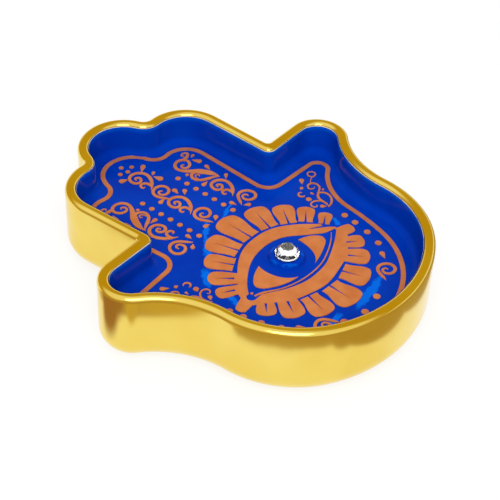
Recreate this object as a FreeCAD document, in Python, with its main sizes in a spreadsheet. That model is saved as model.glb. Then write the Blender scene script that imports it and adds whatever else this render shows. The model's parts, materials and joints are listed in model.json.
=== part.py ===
import FreeCAD, Part
import math
import os
import Sketcher

# Hamsa hand trinket tray: a glazed ceramic dish in the outline of an open hand.
# Axes: +Z up from the table, +Y towards the fingertips, +X towards the right thumb.
# The table is Z = 0 and the origin lies under the middle of the hand.

Vector = FreeCAD.Vector
UP = Vector(0, 0, 1)

# Driving sizes in millimetres. A name that ends in share is a plain ratio.
SIZES = (
    # Outline of the hand at the inner edge of the rim
    ("hand_half_length", 70.0),
    ("middle_finger_radius", 12.9),
    ("finger_valley_radius", 7.9),
    ("outer_finger_radius", 13.3),
    ("outer_finger_drop", 13.7),
    ("crotch_side", 33.1),
    ("finger_splay", 1.0),
    ("crotch_radius", 3.4),
    ("outer_crotch_radius", 1.0),
    ("thumb_top", 11.3),
    ("thumb_reach", 61.4),
    ("thumb_radius", 7.5),
    ("flare_radius", 41.0),
    ("palm_side_radius", 36.8),
    ("heel_radius", 50.8),
    ("palm_lean_share", 0.55),
    # Height and wall
    ("rim_height", 31.2),
    ("inner_depth", 13.8),
    ("wall_thickness", 4.5),
    ("coat_thickness", 0.3),
    ("rim_round", 2.2),
    ("base_round", 9.0),
    ("cove_round", 3.0),
    ("paint_edge_drop", 1.2),
    # Underside
    ("foot_height", 1.0),
    ("foot_inset", 5.2),
    ("foot_width", 5.3),
    ("floor_thickness", 5.0),
    ("recess_round", 3.0),
    # Raised pupil and its stone
    ("eye_across", 0.5),
    ("boss_radius", 6.6),
    ("boss_height", 2.2),
    ("boss_top_round", 1.2),
    ("boss_foot_round", 1.5),
    ("glue_radius", 4.6),
    ("glue_thickness", 0.3),
    ("foil_thickness", 0.15),
    ("stone_radius", 4.5),
    ("stone_height", 3.2),
    ("stone_girdle_height", 0.7),
    ("stone_table_radius", 2.5),
    # Border line of the print: how far it lies inside the rim, and how its rounds differ
    ("print_thickness", 0.25),
    ("border_width", 1.8),
    ("border_tip_inset", 5.25),
    ("border_middle_tighter", 1.3),
    ("border_middle_across", 0.9),
    ("border_valley_tighter", 1.7),
    ("border_outer_tighter", 4.2),
    ("border_side_inset", 4.6),
    ("border_drop_inset", 4.7),
    ("border_crotch_inset", 5.7),
    ("border_crotch_wider", 3.2),
    ("border_crotch_drop", 5.3),
    ("border_thumb_inset", 6.2),
    ("border_thumb_drop", 6.3),
    ("border_thumb_tighter", 3.45),
    ("border_flare_tighter", 15.0),
    ("border_palm_inset", 4.2),
    ("border_heel_tighter", 13.4),
    ("border_heel_inset", 4.3),
    ("border_lean_share", 0.952),
    # Printed ornament: it was laid a little to the left and leaning
    ("art_across", 0.72),
    ("art_lean_share", 0.029),
    ("comma_height", 11.7),
    ("snail_height", 9.0),
    ("scroll_line_width", 1.2),
    ("thumb_line_width", 0.75),
    ("ring_radius", 1.85),
    ("drop_radius", 1.0),
    ("tip_dot_radius", 0.95),
    ("stem_dot_radius", 0.7),
    ("finger_dot_radius", 1.05),
    ("palm_dot_radius", 1.25),
    ("heel_dot_radius", 1.35),
    # Printed eye
    ("lid_line_width", 0.45),
    ("duct_dot_radius", 0.55),
)

doc = FreeCAD.newDocument("hamsa_tray")
sheet = doc.addObject("Spreadsheet::Sheet", "sizes")
for row, (alias, value) in enumerate(SIZES, start=1):
    sheet.set(f"A{row}", alias.replace("_", " "))
    sheet.set(f"B{row}", str(value))
    sheet.setAlias(f"B{row}", alias)
doc.recompute()


class Size:
    """A length kept twice: as a formula on the sheet's cells and as its present value."""

    def __init__(self, formula, value):
        self.formula = formula
        self.value = value

    def __add__(self, other):
        return Size(f"({self.formula} + {other.formula})", self.value + other.value)

    def __sub__(self, other):
        return Size(f"({self.formula} - {other.formula})", self.value - other.value)

    def __mul__(self, other):
        return Size(f"({self.formula} * {other.formula})", self.value * other.value)

    def __truediv__(self, other):
        return Size(f"({self.formula} / {other.formula})", self.value / other.value)

    def __neg__(self):
        return Size(f"(-{self.formula})", -self.value)

    def half(self):
        return self.times(0.5)

    def times(self, share):
        return Size(f"({self.formula} * {share})", self.value * share)


def size(alias):
    return Size(f"sizes.{alias}", float(sheet.get(alias)))


def bind(thing, target, length):
    thing.setExpression(target, length.formula)


ZERO = Size("0", 0.0)
WHOLE = Size("1", 1.0)
wall = size("wall_thickness")
coat = size("coat_thickness")
rim_z = size("rim_height")
floor_z = rim_z - size("inner_depth")
clay_floor_z = floor_z - coat
paint_edge_z = rim_z - size("paint_edge_drop")
recess_z = clay_floor_z - size("floor_thickness")
foot_z = size("foot_height")
coat_foot_z = foot_z - coat
print_thickness = size("print_thickness")
finger_side = size("crotch_side") + size("finger_splay")
palm_round = size("palm_side_radius")
palm_reach = (size("heel_radius") - palm_round) * size("palm_lean_share") + palm_round


class HandLine:
    """One outline of the hand: rounds of given centre and radius, joined where they touch
    or by the straight line that touches both."""

    def __init__(self, tip, middle, middle_x, valley, finger, finger_x, finger_y, crotch, crotch_x,
                 crotch_y, thumb, thumb_x, thumb_y, flare, side, heel, heel_y, lean):
        self.middle, self.middle_x, self.middle_y = middle, middle_x, tip - middle
        self.valley = valley
        self.finger, self.finger_x, self.finger_y = finger, finger_x, finger_y
        self.crotch, self.crotch_x, self.crotch_y = crotch, crotch_x, crotch_y
        self.thumb, self.thumb_x, self.thumb_y = thumb, thumb_x, thumb_y
        self.flare = flare
        self.side, self.side_x = side, (heel - side) * lean
        self.heel, self.heel_y = heel, heel_y
        self.lean = lean


def rim_line(crotch, crotch_offset):
    """The inner rim edge; its crotch corner may sit further out for the outer faces."""
    return HandLine(
        tip=size("hand_half_length"), middle=size("middle_finger_radius"), middle_x=ZERO,
        valley=size("finger_valley_radius"), finger=size("outer_finger_radius"),
        finger_x=finger_side - size("outer_finger_radius"),
        finger_y=size("hand_half_length") - size("outer_finger_drop") - size("outer_finger_radius"),
        crotch=crotch, crotch_x=size("crotch_side") + crotch_offset,
        crotch_y=size("thumb_top") + crotch_offset,
        thumb=size("thumb_radius"), thumb_x=size("thumb_reach") - size("thumb_radius"),
        thumb_y=size("thumb_top") - size("thumb_radius"), flare=size("flare_radius"),
        side=size("palm_side_radius"), heel=size("heel_radius"),
        heel_y=size("heel_radius") - size("hand_half_length"), lean=size("palm_lean_share"))


inner_line = rim_line(size("crotch_radius"), size("crotch_radius"))
outer_line = rim_line(size("outer_crotch_radius") + wall, size("outer_crotch_radius") + wall)

border_tip = size("hand_half_length") - size("border_tip_inset")
border_finger_top = size("hand_half_length") - size("outer_finger_drop") - size("border_drop_inset")
border_thumb_top = size("thumb_top") - size("border_thumb_drop")
border_outer = size("outer_finger_radius") - size("border_outer_tighter")
border_crotch = size("crotch_radius") + size("border_crotch_wider")
border_thumb = size("thumb_radius") - size("border_thumb_tighter")
border_heel = size("heel_radius") - size("border_heel_tighter")
border_lean = size("border_lean_share")
border_palm_reach = palm_reach - size("border_palm_inset")
border_line = HandLine(
    tip=border_tip, middle=size("middle_finger_radius") - size("border_middle_tighter"),
    middle_x=size("border_middle_across"),
    valley=size("finger_valley_radius") - size("border_valley_tighter"), finger=border_outer,
    finger_x=finger_side - size("border_side_inset") - border_outer,
    finger_y=border_finger_top - border_outer, crotch=border_crotch,
    crotch_x=size("crotch_side") - size("border_crotch_inset") + border_crotch,
    crotch_y=size("thumb_top") - size("border_crotch_drop") + border_crotch, thumb=border_thumb,
    thumb_x=size("thumb_reach") - size("border_thumb_inset") - border_thumb,
    thumb_y=border_thumb_top - border_thumb,
    flare=size("flare_radius") - size("border_flare_tighter"),
    side=(border_palm_reach - border_heel * border_lean) / (WHOLE - border_lean), heel=border_heel,
    heel_y=border_heel + size("border_heel_inset") - size("hand_half_length"), lean=border_lean)


def unit(vector):
    return vector / vector.Length


def circle_between(a, a_reach, b, b_reach):
    """The point at the given distances from a and b, on the right of the way from a to b."""
    way = b - a
    along = (a_reach**2 - b_reach**2 + way.Length**2) / (2 * way.Length)
    across = math.sqrt(a_reach**2 - along**2)
    return a + unit(way) * along + Vector(way.y, -way.x).normalize() * across


def touching_line(a, a_reach, b, b_reach):
    """Where one straight line touches two rounds that it passes on their right side."""
    way = b - a
    lean = (a_reach - b_reach) / way.Length
    normal = unit(way) * lean + Vector(way.y, -way.x).normalize() * math.sqrt(1 - lean**2)
    return a + normal * a_reach, b + normal * b_reach


def mirrored(point):
    return Vector(-point.x, point.y)


def half_outline(line, out, side):
    """Joints and centres of one half of an outline that is offset outwards by out, drawn as if it
    were the right half; side is -1 for the left half."""
    middle = Vector(line.middle_x.value * side, line.middle_y.value)
    finger = Vector(line.finger_x.value, line.finger_y.value)
    crotch = Vector(line.crotch_x.value, line.crotch_y.value)
    thumb = Vector(line.thumb_x.value, line.thumb_y.value)
    heel = Vector(0, line.heel_y.value)
    lean = Vector(line.lean.value, -math.sqrt(1 - line.lean.value**2))
    side = heel + lean * (line.heel.value - line.side.value)
    valley = circle_between(finger, line.finger.value + line.valley.value,
                            middle, line.middle.value + line.valley.value)
    flare = circle_between(side, line.side.value + line.flare.value,
                           thumb, line.thumb.value + line.flare.value)
    grown = {name: getattr(line, name).value + out for name in ("middle", "finger", "thumb", "side", "heel")}
    crotch_reach = -(line.crotch.value - out)
    thumb_out, crotch_in = touching_line(thumb, grown["thumb"], crotch, crotch_reach)
    crotch_out, finger_in = touching_line(crotch, crotch_reach, finger, grown["finger"])
    return {
        "heel": (heel, heel + lean * grown["heel"]),
        "side": (side, side + unit(flare - side) * grown["side"]),
        "flare": (flare, thumb + unit(flare - thumb) * grown["thumb"]),
        "thumb": (thumb, thumb_out), "thumb_line": (None, crotch_in),
        "crotch": (crotch, crotch_out), "finger_line": (None, finger_in),
        "finger": (finger, finger + unit(valley - finger) * grown["finger"]),
        "valley": (valley, middle + unit(valley - middle) * grown["middle"]),
        "middle": (middle, None)}


ROUNDED_IN = ("flare", "crotch", "valley")
HALF_ORDER = ("side", "flare", "thumb", "thumb_line", "crotch", "finger_line", "finger", "valley")


def angle_of(centre, point):
    return math.atan2(point.y - centre.y, point.x - centre.x)


def arc_between(centre, start, end):
    """Anticlockwise arc round centre from start to end."""
    first = angle_of(centre, start)
    last = angle_of(centre, end)
    if last < first:
        last += 2 * math.pi
    circle = Part.Circle(centre, UP, (start - centre).Length)
    return Part.ArcOfCircle(circle, first, last)


def draw_hand(sketch, line, offset):
    """Draw the closed outline and tie every round to the sheet."""
    halves = {side: half_outline(line, offset.value, side) for side in (1, -1)}
    flanks = {}
    for side, half in halves.items():
        start = half["heel"][1]
        flanks[side] = []
        for name in HALF_ORDER:
            flanks[side].append((name, side, start, half[name][1]))
            start = half[name][1]
    steps = [("heel", 1, mirrored(halves[-1]["heel"][1]), halves[1]["heel"][1])] + flanks[1]
    steps.append(("middle", 1, halves[1]["valley"][1], mirrored(halves[-1]["valley"][1])))
    for name, side, first, last in reversed(flanks[-1]):
        steps.append((name, side, mirrored(last), mirrored(first)))
    placed = []
    for name, side, first, last in steps:
        centre = halves[side][name][0]
        if centre is None:
            index = sketch.addGeometry(Part.LineSegment(first, last), False)
            placed.append((name, side, index, 1, 2))
            continue
        if side < 0:
            centre = mirrored(centre)
        if name in ROUNDED_IN:
            index = sketch.addGeometry(arc_between(centre, last, first), False)
            placed.append((name, side, index, 2, 1))
        else:
            index = sketch.addGeometry(arc_between(centre, first, last), False)
            placed.append((name, side, index, 1, 2))
    for (_, _, index, _, leave), (_, _, following, enter, _) in zip(placed, placed[1:] + placed[:1]):
        sketch.addConstraint(Sketcher.Constraint("Tangent", index, leave, following, enter))
    for name, side, index, _, _ in placed:
        if halves[side][name][0] is None:
            continue
        radius = getattr(line, name)
        radius = radius - offset if name in ROUNDED_IN else radius + offset
        tie(sketch, Sketcher.Constraint("Radius", index, radius.value), radius)
        if name == "heel" or (name == "middle" and line.middle_x is ZERO):
            sketch.addConstraint(Sketcher.Constraint("PointOnObject", index, 3, -2))
        elif name == "middle":
            tie_place(sketch, "DistanceX", index, line.middle_x)
        if name in ("middle", "heel", "finger", "crotch", "thumb"):
            tie_place(sketch, "DistanceY", index, getattr(line, name + "_y"))
        if name in ("finger", "crotch", "thumb", "side"):
            place = getattr(line, name + "_x")
            tie_place(sketch, "DistanceX", index, place if side > 0 else -place)


def tie(sketch, constraint, length):
    number = sketch.addConstraint(constraint)
    sketch.setExpression(f"Constraints[{number}]", length.formula)


def tie_place(sketch, kind, index, place):
    """Hold a round's centre at a signed place along one axis of the sketch."""
    if place.value >= 0:
        tie(sketch, Sketcher.Constraint(kind, -1, 1, index, 3, place.value), place)
    else:
        tie(sketch, Sketcher.Constraint(kind, index, 3, -1, 1, -place.value), -place)


def new_body(name):
    body = doc.addObject("PartDesign::Body", name)
    body.Label = name
    return body


def new_sketch(body, name, height):
    """A sketch on the body's own horizontal plane, lifted to a height on the sheet."""
    sketch = body.newObject("Sketcher::SketchObject", name)
    plane = [item for item in body.Origin.OriginFeatures if item.Role == "XY_Plane"][0]
    sketch.AttachmentSupport = (plane, [""])
    sketch.MapMode = "FlatFace"
    bind(sketch, "AttachmentOffset.Base.z", height)
    return sketch


def pad(body, sketch, length, name):
    feature = body.newObject("PartDesign::Pad", name)
    feature.Profile = sketch
    bind(feature, "Length", length)
    doc.recompute()
    return feature


def pocket(body, sketch, depth, name, upwards=False):
    """Cut the sketch's outline out of the body; the body must lose volume."""
    before = body.Shape.Volume
    feature = body.newObject("PartDesign::Pocket", name)
    feature.Profile = sketch
    feature.Reversed = upwards
    bind(feature, "Length", depth)
    doc.recompute()
    if not body.Shape.Volume < before:
        raise RuntimeError(f"{name} cut nothing")
    return feature


LEVEL_TOLERANCE = 1e-4


def level_edges(shape, height, wanted=None):
    """Names of the edges that lie flat at a height, and pass the wanted test."""
    names = []
    for number, edge in enumerate(shape.Edges, start=1):
        box = edge.BoundBox
        flat = abs(box.ZMin - height) < LEVEL_TOLERANCE and abs(box.ZMax - height) < LEVEL_TOLERANCE
        if flat and (wanted is None or wanted(edge)):
            names.append(f"Edge{number}")
    return names


def fillet(body, edges, radius, name):
    base = body.Tip
    feature = body.newObject("PartDesign::Fillet", name)
    feature.Base = (base, edges)
    bind(feature, "Radius", radius)
    doc.recompute()
    return feature


def hand_pad(body, line, offset, bottom, top, name):
    sketch = new_sketch(body, name + "_outline", bottom)
    draw_hand(sketch, line, offset)
    return pad(body, sketch, top - bottom, name)


def circle_sketch(body, name, height, x, y, radius):
    sketch = new_sketch(body, name, height)
    index = sketch.addGeometry(Part.Circle(Vector(x.value, y.value), UP, radius.value), False)
    tie(sketch, Sketcher.Constraint("Radius", index, radius.value), radius)
    tie_place(sketch, "DistanceX", index, x)
    tie_place(sketch, "DistanceY", index, y)
    return sketch


EYE_BACK_SHARE = 0.317
eye_x = size("eye_across")
eye_y = size("hand_half_length").times(-EYE_BACK_SHARE)


def near_eye(edge):
    centre = edge.BoundBox.Center
    return math.hypot(centre.x - eye_x.value, centre.y - eye_y.value) < size("boss_radius").value


def dish_form(name, skin, bottom):
    """The dish as a solid; skin is how far its faces lie inside the finished faces."""
    body = new_body(name)
    hand_pad(body, outer_line, wall - skin, bottom, rim_z - skin, name + "_block")
    fillet(body, level_edges(body.Shape, bottom.value), size("base_round") - skin, name + "_base_round")
    cavity = new_sketch(body, name + "_cavity_outline", rim_z - skin)
    draw_hand(cavity, inner_line, skin)
    pocket(body, cavity, size("inner_depth"), name + "_cavity")
    floor = floor_z - skin
    fillet(body, level_edges(body.Shape, floor.value), size("cove_round") + skin, name + "_cove")
    fillet(body, level_edges(body.Shape, (rim_z - skin).value), size("rim_round") - skin, name + "_rim")
    boss = circle_sketch(body, name + "_boss_outline", floor, eye_x, eye_y, size("boss_radius") - skin)
    pad(body, boss, size("boss_height"), name + "_boss")
    top = floor + size("boss_height")
    fillet(body, level_edges(body.Shape, top.value, near_eye), size("boss_top_round") - skin,
           name + "_boss_top")
    fillet(body, level_edges(body.Shape, floor.value, near_eye), size("boss_foot_round") + skin,
           name + "_boss_foot")
    return body


def recess_sketch(body):
    """Two rounds of the underside recess, joined by the straight lines that touch both."""
    sketch = new_sketch(body, "recess_outline", ZERO)
    inset = size("foot_inset") + size("foot_width")
    heel_radius = palm_reach - inset
    heel_y = heel_radius + inset - size("hand_half_length")
    finger_radius = size("crotch_side").half()
    finger_y = outer_line.finger_y - inset
    heel = Vector(0, heel_y.value)
    finger = Vector(0, finger_y.value)
    low, high = touching_line(heel, heel_radius.value, finger, finger_radius.value)
    heel_arc = sketch.addGeometry(arc_between(heel, mirrored(low), low), False)
    right = sketch.addGeometry(Part.LineSegment(low, high), False)
    finger_arc = sketch.addGeometry(arc_between(finger, high, mirrored(high)), False)
    left = sketch.addGeometry(Part.LineSegment(mirrored(high), mirrored(low)), False)
    loop = (heel_arc, right, finger_arc, left)
    for index, following in zip(loop, loop[1:] + loop[:1]):
        sketch.addConstraint(Sketcher.Constraint("Tangent", index, 2, following, 1))
    for index, radius, place in ((heel_arc, heel_radius, heel_y), (finger_arc, finger_radius, finger_y)):
        tie(sketch, Sketcher.Constraint("Radius", index, radius.value), radius)
        sketch.addConstraint(Sketcher.Constraint("PointOnObject", index, 3, -2))
        tie_place(sketch, "DistanceY", index, place)
    return sketch


def make_ceramic_body():
    """The fired clay: dish, bare foot ring and the recess under its floor."""
    body = dish_form("ceramic_body", coat, foot_z)
    hand_pad(body, outer_line, -size("foot_inset"), ZERO, foot_z, "foot")
    pocket(body, recess_sketch(body), recess_z, "recess", upwards=True)
    fillet(body, level_edges(body.Shape, recess_z.value), size("recess_round"), "recess_corner")
    return body


ceramic_body = make_ceramic_body()
finished_form = dish_form("finished_form", ZERO, coat_foot_z)

foot_column = new_body("foot_column")
hand_pad(foot_column, outer_line, -size("foot_inset"), ZERO, recess_z + size("floor_thickness").half(),
         "foot_column_pad")
inner_column = new_body("inner_column")
hand_pad(inner_column, inner_line, wall.half(), recess_z + size("floor_thickness").half(), paint_edge_z,
         "inner_column_pad")


def boolean(kind, name, base, tool):
    feature = doc.addObject(kind, name)
    feature.Base = base
    feature.Tool = tool
    doc.recompute()
    return feature


skin = boolean("Part::Cut", "skin", finished_form, ceramic_body)
blue_glaze = boolean("Part::Common", "blue_glaze", skin, inner_column)
outer_skin = boolean("Part::Cut", "outer_skin", skin, inner_column)
gold_coat = boolean("Part::Cut", "gold_coat", outer_skin, foot_column)

border = new_body("border_line")
hand_pad(border, border_line, size("border_width").half(), floor_z, floor_z + print_thickness, "border_strip")
border_inside = new_sketch(border, "border_inside_outline", floor_z + print_thickness)
draw_hand(border_inside, border_line, -size("border_width").half())
pocket(border, border_inside, print_thickness, "border_inside")

boss_top_z = floor_z + size("boss_height")


def disc(name, x, y, z, radius, height):
    """A flat round piece whose place and sizes follow the sheet."""
    feature = doc.addObject("Part::Cylinder", name)
    feature.Label = name
    bind(feature, "Radius", radius)
    bind(feature, "Height", height)
    for axis, place in (("x", x), ("y", y), ("z", z)):
        bind(feature, "Placement.Base." + axis, place)
    return feature


stone_glue = disc("stone_glue", eye_x, eye_y, boss_top_z, size("glue_radius"), size("glue_thickness"))
foil_z = boss_top_z + size("glue_thickness")
stone_foil = disc("stone_foil", eye_x, eye_y, foil_z, size("stone_radius"), size("foil_thickness"))


def set_shape(name, shape, x, y, z):
    """A piece with a shape of its own, placed by the sheet."""
    feature = doc.addObject("Part::Feature", name)
    feature.Label = name
    feature.Shape = shape
    for axis, place in (("x", x), ("y", y), ("z", z)):
        bind(feature, "Placement.Base." + axis, place)
    return feature


STONE_SIDES = 16


def ring_of(count, radius, height):
    turns = [2 * math.pi * step / count for step in range(count)]
    return [Vector(radius * math.cos(turn), radius * math.sin(turn), height) for turn in turns]


def flat_face(points):
    return Part.Face(Part.makePolygon(list(points) + [points[0]]))


def faceted_stone():
    """Flat-backed cut stone: straight girdle, a crown of triangles and an eight-sided table."""
    foot = ring_of(STONE_SIDES, size("stone_radius").value, 0)
    girdle = ring_of(STONE_SIDES, size("stone_radius").value, size("stone_girdle_height").value)
    table = ring_of(STONE_SIDES // 2, size("stone_table_radius").value, size("stone_height").value)
    faces = [flat_face(foot), flat_face(table)]
    for step in range(STONE_SIDES):
        after = (step + 1) % STONE_SIDES
        faces.append(flat_face([foot[step], foot[after], girdle[after], girdle[step]]))
    for step, corner in enumerate(table):
        before, middle, after = (girdle[(2 * step + shift) % STONE_SIDES] for shift in (-1, 0, 1))
        faces.append(flat_face([corner, before, middle]))
        faces.append(flat_face([corner, middle, after]))
        faces.append(flat_face([corner, after, table[(step + 1) % len(table)]]))
    return Part.makeSolid(Part.makeShell(faces))


stone = set_shape("stone", faceted_stone(), eye_x, eye_y, foil_z + size("foil_thickness"))

STROKE_STEPS = 3


def smooth(points):
    line = Part.BSplineCurve()
    line.interpolate(points)
    return line


def stroke(points, width_shares, line_width):
    """A flat brush stroke along a smooth line, with a width of its own at each point."""
    line = smooth(points)
    places = [line.parameter(point) for point in points]
    left, right = [], []
    for interval in range(len(points) - 1):
        steps = STROKE_STEPS + (1 if interval == len(points) - 2 else 0)
        for step in range(steps):
            part = step / STROKE_STEPS
            at = places[interval] * (1 - part) + places[interval + 1] * part
            share = width_shares[interval] * (1 - part) + width_shares[interval + 1] * part
            way = unit(line.tangent(at)[0])
            across = Vector(-way.y, way.x) * (share * line_width / 2)
            left.append(line.value(at) + across)
            right.append(line.value(at) - across)
    ends = []
    for near, far, at, sign in ((right, left, places[0], -1), (left, right, places[-1], 1)):
        index = 0 if sign < 0 else -1
        reach = (near[index] - far[index]).Length / 2
        tip = line.value(at) + unit(line.tangent(at)[0]) * reach * sign
        ends.append(Part.Arc(near[index], tip, far[index]).toShape())
    edges = [smooth(left).toShape(), smooth(right).toShape()] + ends
    return Part.Face(Part.Wire(Part.__sortEdges__(edges)))


def outlined(*runs):
    """A flat face inside smooth runs of points; a gap between two runs is closed straight."""
    edges = []
    for run, following in zip(runs, runs[1:] + runs[:1]):
        if len(run) > 2:
            edges.append(smooth(run).toShape())
        else:
            edges.append(Part.LineSegment(run[0], run[1]).toShape())
        if (run[-1] - following[0]).Length > LEVEL_TOLERANCE:
            edges.append(Part.LineSegment(run[-1], following[0]).toShape())
    return Part.Face(Part.Wire(Part.__sortEdges__(edges)))


def drop(centre, turn, radius, reach_share):
    """A paint drop: a round with a tip drawn out towards turn degrees."""
    way = Vector(math.cos(math.radians(turn)), math.sin(math.radians(turn)))
    side = Vector(-way.y, way.x)
    tip = centre + way * (radius * reach_share)
    open_angle = math.acos(1 / reach_share)
    lean = way * math.cos(open_angle)
    touch = [centre + (lean + side * math.sin(open_angle) * sign) * radius for sign in (1, -1)]
    back = Part.Arc(touch[0], centre - way * radius, touch[1]).toShape()
    sides = [Part.LineSegment(tip, point).toShape() for point in touch]
    return Part.Face(Part.Wire(Part.__sortEdges__([back] + sides)))


def round_face(centre, radius):
    return Part.Face(Part.Wire(Part.Circle(centre, UP, radius).toShape()))


def raised(face):
    """A flat face raised to the thickness of the print."""
    solid = face.extrude(UP * print_thickness.value)
    if solid.Volume < 0:
        solid.reverse()
    return solid


def joined(faces):
    """The raised shapes of faces that may cross, made one wherever they meet."""
    solids = [raised(face) for face in faces]
    return solids[0].multiFuse(solids[1:]).removeSplitter()


def print_piece(name, shape, x=ZERO, y=ZERO):
    """A raised shape lying on the glaze."""
    solids = shape.Solids
    return set_shape(name, solids[0] if len(solids) == 1 else Part.makeCompound(solids), x, y, floor_z)


# Scroll shapes drawn from the eye of the spiral to the tail, as shares of their height.
COMMA_SHARES = (
    (-0.011, -0.011), (0.051, 0.074), (0.143, 0.0), (0.08, -0.143), (-0.049, -0.186),
    (-0.171, -0.086), (-0.171, 0.109), (-0.049, 0.251), (0.123, 0.286), (0.323, 0.189),
    (0.429, -0.02), (0.366, -0.291), (0.18, -0.534), (-0.091, -0.734))
COMMA_WIDTH_SHARES = (0.5, 0.7, 0.85, 0.9, 0.95, 1.0, 1.0, 1.0, 1.05, 1.1, 1.15, 1.2, 1.1, 0.1)
CURL_SHARES = (
    (0.08, -0.62), (0.097, -0.477), (0.066, -0.363), (-0.049, -0.297), (-0.163, -0.349),
    (-0.183, -0.457), (-0.114, -0.477))
CURL_WIDTH_SHARES = (0.9, 1.0, 1.0, 0.9, 0.8, 0.65, 0.35)
SNAIL_SHARES = (
    (0.048, -0.026), (-0.044, 0.041), (-0.156, -0.037), (-0.137, -0.204), (0.048, -0.304),
    (0.3, -0.185), (0.374, 0.019), (0.27, 0.241), (0.011, 0.326), (-0.267, 0.204),
    (-0.367, -0.019), (-0.315, -0.278), (-0.211, -0.5), (-0.137, -0.704))
SNAIL_WIDTH_SHARES = (0.4, 0.6, 0.75, 0.8, 0.9, 1.0, 1.0, 1.0, 1.0, 1.0, 1.0, 1.0, 0.9, 0.1)
STEM_SHARES = (
    (0.029, -0.034), (-0.034, 0.006), (-0.106, -0.063), (-0.091, -0.166), (0.043, -0.22),
    (0.214, -0.129), (0.28, 0.029), (0.2, 0.194), (0.014, 0.251), (-0.194, 0.171),
    (-0.291, -0.014), (-0.234, -0.223), (-0.086, -0.429), (0.1, -0.657), (0.271, -0.971),
    (0.314, -1.343))
STEM_WIDTH_SHARES = (0.4, 0.6, 0.75, 0.8, 0.9, 1.0, 1.0, 1.0, 1.0, 1.1, 1.1, 1.2, 1.6, 2.4, 2.1, 0.2)
LEAF_SHARES = (
    (0.0, -0.586), (-0.194, -0.571), (-0.326, -0.729), (-0.257, -0.957), (0.0, -1.129),
    (0.3, -1.3))
LEAF_WIDTH_SHARES = (1.2, 1.0, 1.0, 1.0, 1.2, 0.3)
LEAF_CURL_SHARES = ((-0.229, -0.88), (-0.214, -0.757), (-0.129, -0.7), (-0.057, -0.757), (-0.1, -0.82))
LEAF_CURL_WIDTH_SHARES = (0.3, 0.4, 0.45, 0.4, 0.3)
HOOK_SHARES = (
    (0.157, 0.171), (0.343, 0.171), (0.514, 0.214), (0.591, 0.309), (0.486, 0.4),
    (0.366, 0.357), (0.4, 0.286))
HOOK_WIDTH_SHARES = (0.5, 1.2, 1.0, 0.9, 0.7, 0.6, 0.35)

# Places of the ornament: across as a share of the named reach, forward as a share of the half length.
MIDDLE_COMMA_SHARES = ((-0.04, 0.715, 1.0), (-0.062, 0.414, 0.97))
MIDDLE_SNAIL_SHARES = ((-0.005, 0.545, 1.0), (0.013, 0.25, 1.0))
FINGER_STEM_SHARES = (0.538, 0.61)
FINGER_COMMA_SHARES = (0.51, 0.337, 0.94)
FINGER_SNAIL_SHARES = (0.614, 0.167, 1.0)
FINGER_SNAIL_TURN = -59
PALM_SNAIL_SHARES = (0.352, -0.757, 0.96)
PALM_SNAIL_TURN = -46

# Drops: across, forward, the way of the tip in degrees, radius and reach as shares.
MIDDLE_DROP_SHARES = (
    (-0.171, 0.767, -28, 1.13, 2.2), (0.201, 0.768, -148, 1.07, 3.7), (0.196, 0.686, -158, 0.73, 2.4),
    (0.167, 0.623, 103, 1.2, 2.5), (-0.154, 0.483, 9, 0.93, 3.4), (0.117, 0.495, -104, 1.0, 2.7),
    (0.191, 0.45, -140, 0.93, 2.8), (-0.13, 0.169, -14, 0.93, 2.2), (0.076, 0.178, -146, 0.93, 2.4))
FINGER_DROP_SHARES = (
    (0.764, 0.625, -167, 0.67, 2.6), (0.727, 0.562, 114, 1.07, 2.9), (0.714, 0.502, -110, 0.87, 3.1),
    (0.744, 0.369, -142, 0.8, 3.4), (0.425, 0.406, 2, 0.9, 3.0), (0.388, 0.19, -82, 0.87, 2.6),
    (0.498, 0.109, 142, 0.87, 2.3))
THUMB_DROP_SHARES = (
    (0.679, 0.019, -137, 0.96, 2.7), (0.617, -0.023, -167, 0.68, 1.5), (0.559, -0.111, -67, 1.04, 1.3),
    (0.619, -0.091, -86, 0.5, 2.5), (0.698, -0.119, -142, 0.45, 2.2), (0.562, -0.203, -52, 0.8, 2.1))
PALM_DROP_SHARES = ((0.449, -0.671, -125, 1.0, 3.1),)

RING_PLACE_SHARES = (0.772, 0.011)
RING_WIDTH_SHARE = 0.3
RING_TAIL_SHARES = ((0.745, -0.01), (0.722, -0.017), (0.706, -0.026), (0.692, -0.037))
RING_TAIL_WIDTH_SHARES = (0.6, 0.5, 0.4, 0.5)
THUMB_SPIRAL_SHARES = (
    (0.682, -0.071), (0.662, -0.074), (0.646, -0.06), (0.653, -0.043), (0.677, -0.034),
    (0.704, -0.043), (0.714, -0.063), (0.705, -0.089), (0.68, -0.106), (0.648, -0.119),
    (0.622, -0.134), (0.607, -0.155), (0.603, -0.178), (0.6, -0.205), (0.583, -0.233))
THUMB_SPIRAL_WIDTH_SHARES = (0.3, 0.5, 0.7, 0.9, 1.0, 1.0, 1.0, 1.0, 1.0, 1.0, 1.3, 1.2, 1.1, 1.1, 0.2)
THUMB_LEAF_SHARES = (
    (0.636, -0.125), (0.667, -0.129), (0.681, -0.154), (0.674, -0.186), (0.651, -0.21),
    (0.619, -0.226), (0.583, -0.233))
THUMB_LEAF_WIDTH_SHARES = (0.8, 1.0, 1.1, 1.1, 1.2, 1.1, 0.2)
THUMB_HOOK_SHARES = (
    (0.547, -0.174), (0.537, -0.183), (0.522, -0.174), (0.52, -0.157), (0.536, -0.144),
    (0.56, -0.143), (0.582, -0.154), (0.598, -0.174), (0.603, -0.2))
THUMB_HOOK_WIDTH_SHARES = (0.4, 0.6, 0.8, 0.9, 0.9, 0.9, 0.9, 0.9, 0.8)
THUMB_CURL_SHARES = ((0.582, -0.046), (0.56, -0.04), (0.546, -0.054), (0.552, -0.071), (0.57, -0.076))
THUMB_CURL_WIDTH_SHARES = (0.5, 0.9, 1.1, 1.0, 0.5)

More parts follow.
